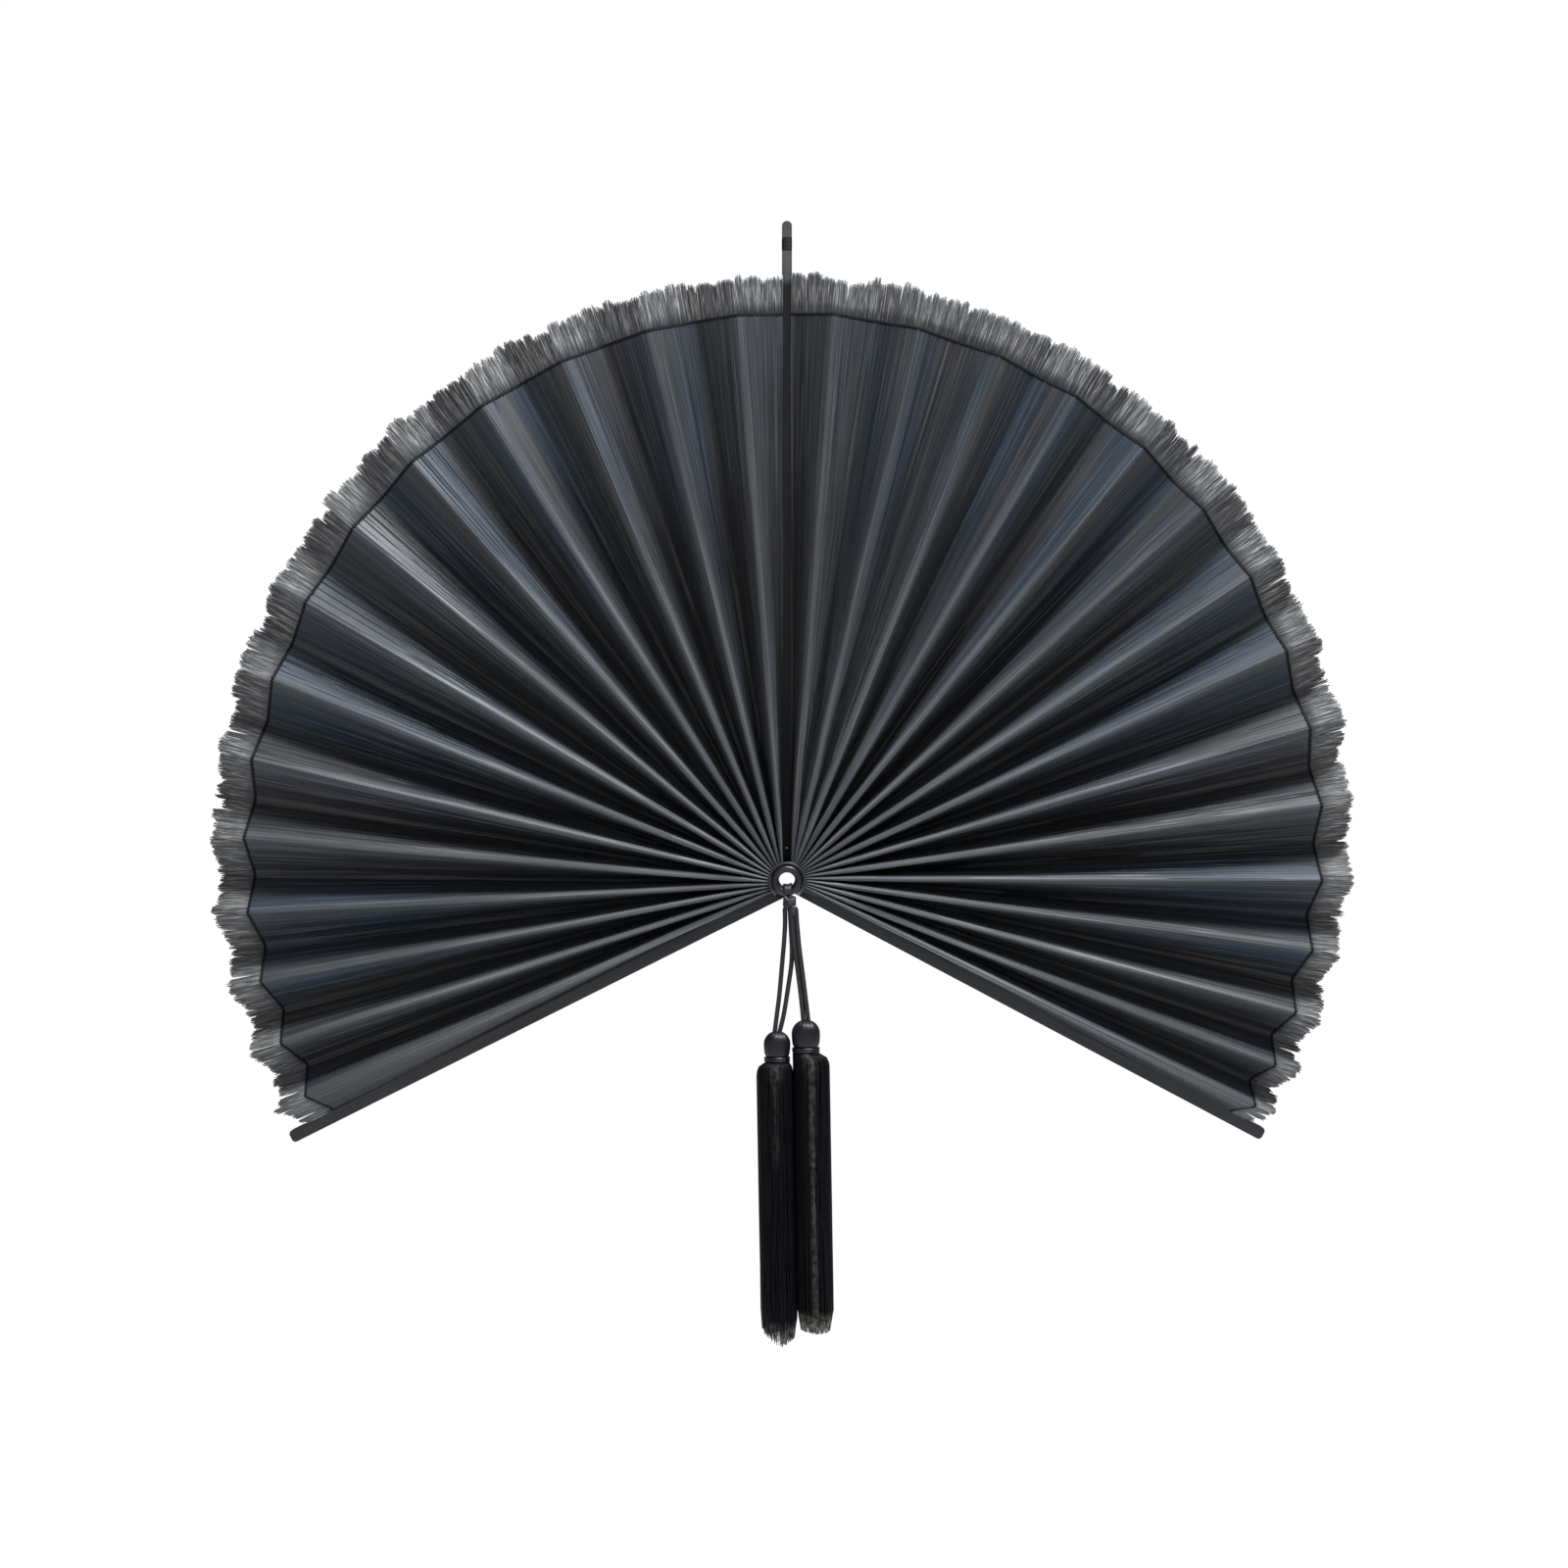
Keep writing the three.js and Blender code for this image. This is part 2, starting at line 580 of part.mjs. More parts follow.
function addNeckRing(side) {
  const { x, z, ball } = TASSELS[side];
  const inside = NECK_RADIUS + GAP;
  const half = RING_HEIGHT / 2 - GAP / 2;
  const bulge = ball - RING_INSET - half;
  const profile = [new THREE.Vector2(inside, -half)];
  for (let i = 0; i <= 6; i += 1) {
    const turn = (i * Math.PI) / 6 - Math.PI / 2;
    profile.push(new THREE.Vector2(bulge + half * Math.cos(turn), half * Math.sin(turn)));
  }
  profile.push(new THREE.Vector2(inside, half), new THREE.Vector2(inside, -half));
  const ring = new THREE.LatheGeometry(profile, 28);
  ring.rotateX(Math.PI / 2);
  ring.translate(x, TASSEL_Y, z - ringDrop(side));
  add(`${side}_neck_ring`, toGeometry(toSolid(ring)), satinThread);
}

// The skirts crowd each other, so each swells outwards from under its ball and stays flush
// with its neighbour. Both its width and its sideways step follow one rounded shoulder.
function skirtCut(side, drop, length) {
  const { x, ball, skirtX, lean, rounded } = TASSELS[side];
  const shoulder = Math.min(drop / SHOULDER, 1);
  const swell = Math.sqrt(1 - (1 - shoulder) ** 2);
  const tip = Math.max(0, 1 - (length - drop) / rounded);
  const left = THREE.MathUtils.lerp(TIP_SHARE, 1, Math.sqrt(1 - tip ** 2));
  return {
    centre: THREE.MathUtils.lerp(x, skirtX, swell) + (lean * drop) / length,
    radius: THREE.MathUtils.lerp(ball - NECK_INSET, SKIRT_RADIUS, swell) * left,
    flute: FLUTE_DEPTH * shoulder * left,
  };
}

function addSkirt(side) {
  const { x, z, bottom, rounded } = TASSELS[side];
  const top = z - ringDrop(side) - (RING_HEIGHT + GAP) / 2;
  const length = top - bottom;
  const sides = FLUTES * 4;
  const ring = ({ centre, radius, flute }, height) => Array.from({ length: sides }, (_, i) => {
    const turn = (2 * Math.PI * i) / sides;
    const reach = radius - flute * (0.5 - 0.5 * Math.cos(FLUTES * turn));
    return new THREE.Vector3(centre + reach * Math.cos(turn), TASSEL_Y + reach * Math.sin(turn), height);
  });
  const neck = { centre: x, radius: NECK_RADIUS, flute: 0 };
  const rings = [ring(neck, top + RING_HEIGHT), ring(neck, top)];
  const drops = [
    ...[0.02, 0.14, 0.36, 0.68, 1].map((share) => share * SHOULDER),
    ...[0.4, 0.7].map((share) => share * length),
    ...[1, 0.6, 0.32, 0.12, 0].map((share) => length - share * rounded),
  ];
  drops.forEach((drop) => rings.push(ring(skirtCut(side, drop, length), top - drop)));
  add(`${side}_skirt`, loft(rings, fanCap(sides)), satinThread);
}

addLeaf();
addUpright();
addBinding();
addGuards();
addHubTube();
addWasher();
addGatheringCord();
addHitch();
addKnot();
SIDES.forEach((side) => {
  addTasselCord(side);
  addBall(side);
  addNeckRing(side);
  addSkirt(side);
});

export default fan;
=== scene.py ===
# %% [markdown]
# # A woven wall fan
#
# The fan is a long mat of fine dark splint, folded into strips and gathered round a hub tube.
# Three sticks hold it open, and two thread tassels hang from the hub on doubled cords.
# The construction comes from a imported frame: every body, joint and place is already there.
# This lesson dresses that frame. Each new piece is worked out as whole arrays of points, in
# metres, in the frame's own axes: X to the right, Z up, and the viewer on the -Y side.

# %% Load the frame
import math

import bpy
import numpy as np
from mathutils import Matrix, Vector


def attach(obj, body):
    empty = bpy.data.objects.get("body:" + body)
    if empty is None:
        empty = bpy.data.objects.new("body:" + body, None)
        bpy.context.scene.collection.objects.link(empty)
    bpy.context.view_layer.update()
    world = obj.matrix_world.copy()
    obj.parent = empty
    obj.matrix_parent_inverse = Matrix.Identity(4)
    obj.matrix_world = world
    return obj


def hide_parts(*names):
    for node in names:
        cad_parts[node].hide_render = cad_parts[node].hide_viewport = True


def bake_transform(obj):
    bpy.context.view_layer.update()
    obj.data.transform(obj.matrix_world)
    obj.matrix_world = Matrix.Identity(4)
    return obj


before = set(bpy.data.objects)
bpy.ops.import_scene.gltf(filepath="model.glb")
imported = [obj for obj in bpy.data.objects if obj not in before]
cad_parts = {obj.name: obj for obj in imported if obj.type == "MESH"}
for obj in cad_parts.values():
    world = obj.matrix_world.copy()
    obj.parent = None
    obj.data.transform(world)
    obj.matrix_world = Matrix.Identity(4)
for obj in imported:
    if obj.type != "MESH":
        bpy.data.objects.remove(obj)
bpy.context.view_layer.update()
MM = 0.001
SIGN = {"left": -1, "right": 1}  # the side of the stick, along X

# %% [markdown]
# ## The view
#
# The photograph is a square picture taken straight from the front, a little over two metres
# away and at the height of the leaf's middle. A long lens gives its flat perspective.
# The camera is aimed by a rotation alone, with no shift, so that other views can reuse it.

# %% Camera
SENSOR = 36.0
LENS = 66.78
CAMERA_PLACE = (-0.0023, -2.33, -0.4304)

camera_data = bpy.data.cameras.new("photo_camera")
camera_data.sensor_width = SENSOR
camera_data.lens = LENS
camera = bpy.data.objects.new("photo_camera", camera_data)
camera.location = CAMERA_PLACE
camera.rotation_euler = (math.radians(90), 0, 0)
bpy.context.scene.collection.objects.link(camera)
bpy.context.scene.camera = camera
print("camera", -CAMERA_PLACE[1], "m from the wall, lens", LENS)

# %% [markdown]
# ## Helpers for surfaces
#
# A mesh is a list of points and a list of faces. Nearly every piece below is a grid: rows of
# points along the piece and columns across or round it. So one helper numbers the faces of a
# grid, two close the ends of tubes, and one puts the arrays into a new object. Each place on
# a piece also gets a pattern place in metres, across and along it, for its finish to read.

# %% Grid, tube and sheet helpers


def grid_faces(rows, columns, closed=False, looped=False):
    """Four-sided faces of a grid of points: each joins a point with its neighbours along and across."""
    start = np.arange(rows * columns).reshape(rows, columns)
    if looped:
        start = np.concatenate([start, start[:1]])
    if closed:
        start = np.concatenate([start, start[:, :1]], axis=1)
    return np.stack([start[:-1, :-1], start[:-1, 1:], start[1:, 1:], start[1:, :-1]], axis=-1).reshape(-1, 4)


def tube_faces(rows, sides):
    """Faces of a tube of rings: its wall, and one face across each end."""
    ring = np.arange(sides)[None]
    return [grid_faces(rows, sides, closed=True), ring[:, ::-1], ring + (rows - 1) * sides]


def many_tube_faces(count, rows, sides=4):
    """Faces of many four-sided tubes, whose points follow one another tube by tube."""
    first = (np.arange(count) * rows * sides)[:, None, None]
    wall, *ends = tube_faces(rows, sides)
    parts = (wall, np.concatenate(ends))
    return [np.concatenate([(part[None] + first).reshape(-1, sides) for part in parts])]


def round_turn(sides):
    """Even angles once round."""
    return np.linspace(0, 2 * np.pi, sides, endpoint=False)


def pattern_places(across, along):
    """Pattern places, one for each point, from what they are across and along a grid."""
    return np.stack(np.broadcast_arrays(across, along), axis=-1).reshape(-1, 2)


def lengths_along(line):
    """How far along a line each of its places lies: a running sum of the steps."""
    return np.concatenate([[0], np.cumsum(np.linalg.norm(np.diff(line, axis=0), axis=1))])


def signed_volume(points, faces):
    """A sixth of the sum of a . (b x c) over every face's fan: above zero when faces point outwards."""
    total = 0.0
    for corners in faces:
        for i in range(1, corners.shape[1] - 1):
            a, b, c = points[corners[:, 0]], points[corners[:, i]], points[corners[:, i + 1]]
            total += np.einsum("ij,ij->i", a, np.cross(b, c)).sum()
    return total / 6


def new_piece(name, points, faces, material, uv, sharp=None, wear_and_painted_light=None):
    """Makes an object of points and of arrays of faces, with outward sides, smooth but for sharp edges."""
    points = np.asarray(points, float).reshape(-1, 3)
    faces = [np.asarray(f, int) for f in faces]
    if signed_volume(points, faces) < 0:
        faces = [f[:, ::-1] for f in faces]
    rows = [row for f in faces for row in f.tolist()]
    mesh = bpy.data.meshes.new(name)
    mesh.from_pydata(points.tolist(), [], rows)
    mesh.polygons.foreach_set("use_smooth", np.ones(len(mesh.polygons), bool))
    mesh.materials.append(material)
    corner = np.zeros(len(mesh.loops), np.int32)
    mesh.loops.foreach_get("vertex_index", corner)
    layer = mesh.uv_layers.new(name="weave")
    layer.data.foreach_set("uv", np.asarray(uv, np.float32)[corner].ravel())
    # This number holds wear and painted light: painted highlight and shade on the leaf, worn tips and a
    # painted highlight on the skirts, worn ends on cords and loose splints
    if wear_and_painted_light is not None:
        wear = mesh.attributes.new("wear_and_painted_light", "FLOAT", "POINT")
        wear.data.foreach_set("value", np.asarray(wear_and_painted_light, np.float32).ravel())
    if sharp is not None:
        mesh.set_sharp_from_angle(angle=math.radians(sharp))
    mesh.update()
    piece = bpy.data.objects.new(name, mesh)
    bpy.context.scene.collection.objects.link(piece)
    return piece


def smooth(share):
    """A step that eases in and out: 3s^2 - 2s^3 for a share held between 0 and 1."""
    share = np.clip(share, 0, 1)
    return share * share * (3 - 2 * share)


def curve_through(places, count):
    """A smooth line through places: each stretch is a cubic whose slopes come from its neighbours' chord."""
    p = np.asarray(places, float)
    p = np.concatenate([2 * p[:1] - p[1:2], p, 2 * p[-1:] - p[-2:-1]])
    step = np.linspace(0, len(p) - 3, count)
    k = np.minimum(step.astype(int), len(p) - 4)
    t = (step - k)[:, None]
    a, b, c, d = p[k], p[k + 1], p[k + 2], p[k + 3]
    bend, twist = 2 * a - 5 * b + 4 * c - d, 3 * b - a - 3 * c + d
    line = 0.5 * (2 * b + (c - a) * t + bend * t**2 + twist * t**3)
    along = lengths_along(line)
    even = np.linspace(0, along[-1], count)
    return np.stack([np.interp(even, along, line[:, i]) for i in range(3)], axis=1)


def frames_along(line):
    """A side and an up direction all along a line. Each side is the last one, turned as little as may be."""
    before, after = np.roll(line, 1, axis=0), np.roll(line, -1, axis=0)
    before[0], after[-1] = line[0], line[-1]
    forward = after - before
    forward /= np.linalg.norm(forward, axis=1)[:, None]
    guess = np.array([1.0, 0, 0]) if abs(forward[0, 0]) < 0.8 else np.array([0, 1.0, 0])
    sides = []
    for step in forward:
        guess = guess - (guess @ step) * step
        guess = guess / np.linalg.norm(guess)
        sides.append(guess)
    side = np.array(sides)
    return side, np.cross(forward, side)


def twisted_tube(line, radius, sides, lay, relief, strands=3):
    """A tube round a line: its radius dips between the strands, which turn once in each lay of length."""
    side, up = frames_along(line)
    along = lengths_along(line)[:, None]
    turn = round_turn(sides)[None, :]
    phase = strands * turn / 2 - np.pi * strands * along / lay
    reach = radius - relief * (1 - np.abs(np.cos(phase)))
    ring = np.cos(turn)[..., None] * side[:, None] + np.sin(turn)[..., None] * up[:, None]
    points = (line[:, None] + reach[..., None] * ring).reshape(-1, 3)
    return points, tube_faces(len(line), sides), pattern_places(turn * radius, along)


def joined(parts):
    """Several sets of points, faces and pattern places as one set."""
    points, faces, uvs, first = [], {}, [], 0
    for p, fs, uv in parts:
        for f in fs:
            faces.setdefault(f.shape[1], []).append(f + first)
        points.append(p)
        uvs.append(uv)
        first += len(p)
    return np.concatenate(points), [np.concatenate(faces[n]) for n in sorted(faces)], np.concatenate(uvs)


print("helpers ready")

# %% [markdown]
# ## Finishes
#
# Every finish is made of nodes, so it has no picture in it and stays sharp at any distance.
# A short helper adds a node and sets its sockets by name. The finishes read a pattern place
# that each piece carries, in metres: first across the piece, then along it. So a grain runs
# with its splint, stick or thread, also where that bends.

# %% Node helpers


def add_node(material, kind, **sockets):
    """A node of that kind. Words that name a socket set it, and the others set the node's own choices."""
    node = material.node_tree.nodes.new(kind)
    for key, value in sockets.items():
        label = key.replace("_", " ")
        match = next((s for s in node.inputs if s.name.lower() == label.lower()), None)
        if match is not None and not key.startswith("own_"):
            match.default_value = value
        else:
            setattr(node, key.removeprefix("own_"), value)
    return node


def wire(material, source, target):
    """Links a node's output to a socket."""
    material.node_tree.links.new(source, target)


def new_finish(name, roughness, metallic=0.0, sheen=0.0, sheen_tint=(1, 1, 1, 1), specular=0.5):
    """A material with its surface shader, whose even values are set on the shader itself."""
    material = bpy.data.materials.new(name)
    material.use_nodes = True
    shader = material.node_tree.nodes["Principled BSDF"]
    shader.inputs["Roughness"].default_value = roughness
    shader.inputs["Metallic"].default_value = metallic
    shader.inputs["Specular IOR Level"].default_value = specular
    shader.inputs["Sheen Weight"].default_value = sheen
    shader.inputs["Sheen Roughness"].default_value = 0.4
    shader.inputs["Sheen Tint"].default_value = sheen_tint
    return material, shader


def pattern_place(material):
    """The piece's own pattern place."""
    return add_node(material, "ShaderNodeUVMap", own_uv_map="weave").outputs["UV"]


def own_wear_and_painted_light(material):
    """The piece's own wear and painted light, a number at each of its points."""
    return add_node(material, "ShaderNodeAttribute", own_attribute_name="wear_and_painted_light").outputs["Fac"]


def streaks(material, across, along, detail=3.0):
    """Noise drawn out along the piece. Across and along are how many grains fit in a metre each way."""
    scaled = add_node(material, "ShaderNodeMapping")
    scaled.inputs["Scale"].default_value = (across, along, 1)
    noise = add_node(material, "ShaderNodeTexNoise", scale=1.0, detail=detail, roughness=0.6)
    wire(material, pattern_place(material), scaled.inputs["Vector"])
    wire(material, scaled.outputs["Vector"], noise.inputs["Vector"])
    return noise.outputs["Fac"]


def blotches(material, scale, detail=3.0):
    """Noise of even size all ways, fixed to the piece in the frame's own places."""
    place = add_node(material, "ShaderNodeTexCoord")
    noise = add_node(material, "ShaderNodeTexNoise", scale=scale, detail=detail, roughness=0.55)
    wire(material, place.outputs["Object"], noise.inputs["Vector"])
    return noise.outputs["Fac"]


def feed(material, source, socket):
    """Gives a socket a number, a colour of three numbers, or another node's output."""
    if isinstance(source, (int, float)):
        socket.default_value = source
    elif isinstance(source, tuple):
        socket.default_value = (*source, 1)
    else:
        wire(material, source, socket)


def mixed(material, first, second, share):
    """A number between two others; share is a number or another node's output."""
    node = add_node(material, "ShaderNodeMix", own_data_type="FLOAT")
    for source, place in ((share, 0), (first, 2), (second, 3)):
        feed(material, source, node.inputs[place])
    return node.outputs[0]


def over(material, below, above, share):
    """One colour over another, as far as a share from 0 to 1."""
    node = add_node(material, "ShaderNodeMix", own_data_type="RGBA")
    for source, place in ((share, 0), (below, 6), (above, 7)):
        feed(material, source, node.inputs[place])
    return node.outputs[2]


def product(material, first, second):
    """One number times another."""
    node = add_node(material, "ShaderNodeMath", own_operation="MULTIPLY")
    for source, place in ((first, 0), (second, 1)):
        feed(material, source, node.inputs[place])
    return node.outputs[0]


def ranged(material, source, low, high, to_low=0.0, to_high=1.0, easing="LINEAR"):
    """A number carried from one range to another, and held inside it."""
    node = add_node(material, "ShaderNodeMapRange", own_interpolation_type=easing,
                    from_min=low, from_max=high, to_min=to_low, to_max=to_high)
    wire(material, source, node.inputs["Value"])
    return node.outputs["Result"]


def ramp(material, source, *stops):
    """Colours or greys laid along a number: each stop is a place and a colour."""
    node = add_node(material, "ShaderNodeValToRGB")
    band = node.color_ramp
    while len(band.elements) < len(stops):
        band.elements.new(0.5)
    for element, (place, colour) in zip(band.elements, stops):
        element.position = place
        element.color = (*colour, 1) if len(colour) == 3 else colour
    wire(material, source, node.inputs["Fac"])
    return node.outputs["Color"]


def grey(value):
    """A colour of three equal numbers."""
    return (value, value, value)


def paler_by_wear_and_painted_light(material, colour, pale, patches):
    """A colour that goes over to a paler one in patches, as far as the piece's own wear and painted light
    say.
    """
    return over(material, colour, pale, product(material, own_wear_and_painted_light(material), patches))


def bumped(material, shader, height, distance, strength=1.0):
    """Leans the surface's light by a height, in metres at full distance."""
    node = add_node(material, "ShaderNodeBump", distance=distance, strength=strength)
    wire(material, height, node.inputs["Height"])
    wire(material, node.outputs["Normal"], shader.inputs["Normal"])


print("node helpers ready")

# %% [markdown]
# ### Dyed splint
#
# Close to, the leaf is thousands of thin splints side by side, dyed nearly black. Each took
# the dye a little differently, so streaks run along them, a few splints wide and a hand long.
# Broad patches of the leaf are blue-grey, most of all towards the rim, and the rest is plain
# charcoal. A number at each point of the leaf paints a highlight, paler, on the ridges, and where
# it falls below zero it paints shade, full and dark, deep in the valleys. The splints are shaved
# smooth and shine a little. Fine thread crosses them, which is too fine for geometry and comes
# from bump.

# %% Dyed splint finish
SPLINT_PITCH = 1.26 * MM
THREAD_PITCH = 1.9 * MM
DYE_PLACES = (0.33, 0.50, 0.68)
CHARCOAL_DYE = ((0.0088, 0.0087, 0.0090), (0.0258, 0.0260, 0.0285), (0.075, 0.076, 0.083))
BLUE_DYE = ((0.0074, 0.0088, 0.0109), (0.0176, 0.0256, 0.0384), (0.047, 0.075, 0.116))
# Painted shade for deep in the valleys, and painted highlight for the ridges
PAINTED_VALLEY_SHADE = (0.0075, 0.0075, 0.0079)
PAINTED_RIDGE_HIGHLIGHT = (0.170, 0.181, 0.196)


def dyed_splint():
    """Charcoal and blue-grey streaks, painted shade over them deep in the valleys, and a painted highlight on
    the ridges.
    """
    material, shader = new_finish("dyed_splint", 0.5, sheen=0.10, sheen_tint=(0.72, 0.86, 1, 1),
                                  specular=0.36)
    single = streaks(material, 1 / SPLINT_PITCH, 7, 2)
    group = streaks(material, 140, 2.4, 2)
    tone = mixed(material, single, group, 0.5)
    charcoal = ramp(material, tone, *zip(DYE_PLACES, CHARCOAL_DYE))
    blue = ramp(material, tone, *zip(DYE_PLACES, BLUE_DYE))
    patches = ramp(material, streaks(material, 26, 1.2, 2), (0.43, grey(0)), (0.57, grey(1)))
    split = add_node(material, "ShaderNodeSeparateXYZ")
    wire(material, pattern_place(material), split.inputs[0])
    to_rim = ranged(material, split.outputs["Y"], 0.12, 0.38, 0.25, 1.0, "SMOOTHSTEP")
    colour = over(material, charcoal, blue, product(material, patches, to_rim))
    # Painted shade: where the number falls below zero, deep in the valleys, the colour goes dark
    deep = ranged(material, own_wear_and_painted_light(material), 0.0, -1.0, 0.0, 0.7)
    colour = over(material, colour, PAINTED_VALLEY_SHADE, deep)
    # Painted highlight: the ridges go paler, in streaks
    painted_highlight_share = ramp(material, tone, (0.33, grey(0.10)), (0.68, grey(0.80)))
    wire(material, paler_by_wear_and_painted_light(material, colour, PAINTED_RIDGE_HIGHLIGHT, painted_highlight_share), shader.inputs["Base Color"])
    polish = ramp(material, blotches(material, 9, 4), (0.35, grey(0.44)), (0.7, grey(0.62)))
    wire(material, polish, shader.inputs["Roughness"])
    threads = add_node(material, "ShaderNodeTexWave", own_wave_type="BANDS", own_bands_direction="Y",
                       scale=1 / (20 * THREAD_PITCH) * 2 * math.pi, distortion=0.6, detail=1.0)
    wire(material, pattern_place(material), threads.inputs["Vector"])
    height = mixed(material, threads.outputs["Fac"], streaks(material, 2 / SPLINT_PITCH, 30, 3), 0.6)
    bumped(material, shader, height, 0.16 * MM, 0.55)
    return material


SPLINT = dyed_splint()
print("finish", SPLINT.name)

# %% [markdown]
# ### Frayed splint
#
# Past the stitched line the thread is gone and the splints are loose. They are paler there:
# the dye is thin, and some tips show bare wood, cream and grey. The pattern place's first
# number is each splint's own place in the row and its second runs from stitching to tip.

# %% Frayed splint finish
LOOSE_DYE = ((0.36, (0.0120, 0.0128, 0.0145)), (0.50, (0.050, 0.053, 0.0595)), (0.65, (0.145, 0.148, 0.163)))
BARE_WOOD = (0.50, 0.49, 0.44)


def frayed_splint():
    """Thin dye in streaks, and flecks of bare wood towards the tips."""
    material, shader = new_finish("frayed_splint", 0.6, sheen=0.15, sheen_tint=(0.85, 0.92, 1, 1))
    single = streaks(material, 1 / SPLINT_PITCH, 12, 2)
    group = streaks(material, 160, 12, 2)
    tone = mixed(material, single, group, 0.45)
    dyed = ramp(material, tone, *LOOSE_DYE)
    bare = streaks(material, 1.9 / SPLINT_PITCH, 40, 2)
    flecks = ramp(material, bare, (0.52, grey(0)), (0.66, grey(0.85)))
    wire(material, paler_by_wear_and_painted_light(material, dyed, BARE_WOOD, flecks), shader.inputs["Base Color"])
    bumped(material, shader, single, 0.1 * MM, 0.5)
    return material


FRAYED = frayed_splint()
print("finish", FRAYED.name)

# %% [markdown]
# ### Thread, cord, wood and steel
#
# The stitching and the binding are dull dyed thread, the tassels and their cords have a satin
# shine, and the sticks are planed wood under a thin dark stain that lets the grain through.
# The pin in the stick is plain steel.

# %% The other finishes


def twisted_thread(name, dark, light, roughness, sheen, pale=None, specular=0.5):
    """Dyed yarn: fine fibres run along it, and its colour drifts a little. Given a pale colour, it shows it
    in patches, as far as its wear and painted highlight say.
    """
    material, shader = new_finish(name, roughness, sheen=sheen, sheen_tint=(0.75, 0.8, 1, 1),
                                  specular=specular)
    fibres = streaks(material, 3600, 60, 3)
    drift = blotches(material, 120, 3)
    colour = ramp(material, mixed(material, fibres, drift, 0.4), (0.35, dark), (0.65, light))
    if pale:
        patches = mixed(material, blotches(material, 260, 4), streaks(material, 900, 160, 3), 0.5)
        patches = ramp(material, patches, (0.44, grey(0.15)), (0.60, grey(1.0)))
        colour = paler_by_wear_and_painted_light(material, colour, pale, patches)
    wire(material, colour, shader.inputs["Base Color"])
    bumped(material, shader, fibres, 0.12 * MM, 0.5)
    return material


def long_grain(material, turn, across, along):
    """Noise drawn out along one direction: the frame's upright, turned by an angle in the wall's plane."""
    place = add_node(material, "ShaderNodeTexCoord")
    turned = add_node(material, "ShaderNodeVectorRotate", own_rotation_type="Y_AXIS", angle=turn)
    scaled = add_node(material, "ShaderNodeMapping")
    scaled.inputs["Scale"].default_value = (across, across, along)
    noise = add_node(material, "ShaderNodeTexNoise", scale=1.0, detail=5.0, roughness=0.6)
    wire(material, place.outputs["Object"], turned.inputs["Vector"])
    wire(material, turned.outputs["Vector"], scaled.inputs["Vector"])
    wire(material, scaled.outputs["Vector"], noise.inputs["Vector"])
    return noise.outputs["Fac"]


def painted_shade_below(material, colour, pale, height):
    """A colour that goes over to a paler one above a height in the frame. The darker one below is painted
    shade.
    """
    split = add_node(material, "ShaderNodeSeparateXYZ")
    wire(material, add_node(material, "ShaderNodeTexCoord").outputs["Object"], split.inputs[0])
    share = ranged(material, split.outputs["Z"], height - 4 * MM, height + 4 * MM, easing="SMOOTHSTEP")
    return over(material, colour, pale, share)


def stained_wood(name, dark, light, roughness, turn=0.0, unshaded_above=None, specular=0.5):
    """Planed wood under dark stain: long grain, a patchy polish, and painted shade below a height, with paler
    colours above.
    """
    material, shader = new_finish(name, roughness, specular=specular)
    grain = long_grain(material, turn, 520, 10)
    patch = blotches(material, 22, 4)
    tone = mixed(material, grain, patch, 0.35)
    colour = ramp(material, tone, (0.32, dark), (0.68, light))
    if unshaded_above:
        pale = ramp(material, tone, (0.32, unshaded_above[0]), (0.68, unshaded_above[1]))
        colour = painted_shade_below(material, colour, pale, unshaded_above[2])
    wire(material, colour, shader.inputs["Base Color"])
    polish = ramp(material, patch, (0.3, grey(roughness - 0.1)), (0.7, grey(roughness + 0.12)))
    wire(material, polish, shader.inputs["Roughness"])
    bumped(material, shader, grain, 0.1 * MM, 0.4)
    return material


def pin_steel():
    """Plain steel: brushed fine, and dull where hands have touched it."""
    material, shader = new_finish("pin_steel", 0.35, metallic=1.0)
    marks = blotches(material, 900, 4)
    wire(material, ramp(material, marks, (0.3, grey(0.45)), (0.7, grey(0.70))), shader.inputs["Base Color"])
    wire(material, ramp(material, marks, (0.3, grey(0.28)), (0.7, grey(0.5))), shader.inputs["Roughness"])
    bumped(material, shader, marks, 0.05 * MM, 0.4)
    return material


STITCH = twisted_thread("stitching_thread", (0.003, 0.0034, 0.0048), (0.012, 0.0135, 0.018), 0.8, 0.0,
                        specular=0.15)
BINDING = twisted_thread("binding_thread", (0.002, 0.002, 0.003), (0.008, 0.008, 0.012), 0.6, 0.0,
                         specular=0.3)
CORD = twisted_thread("satin_cord", (0.004, 0.004, 0.006), (0.018, 0.018, 0.024), 0.42, 0.05,
                      (0.17, 0.13, 0.12))
# Its pale colour shows on the skirts' worn tips, and as a painted highlight down their front and on the
# shoulder
SATIN = twisted_thread("tassel_satin", (0.0008, 0.0008, 0.0016), (0.0028, 0.0028, 0.0056), 0.5, 0.0,
                       (0.36, 0.34, 0.31), 0.10)
HEAD = twisted_thread("head_satin", (0.0018, 0.0018, 0.0042), (0.0065, 0.0065, 0.0145), 0.36, 0.0,
                      specular=0.38)
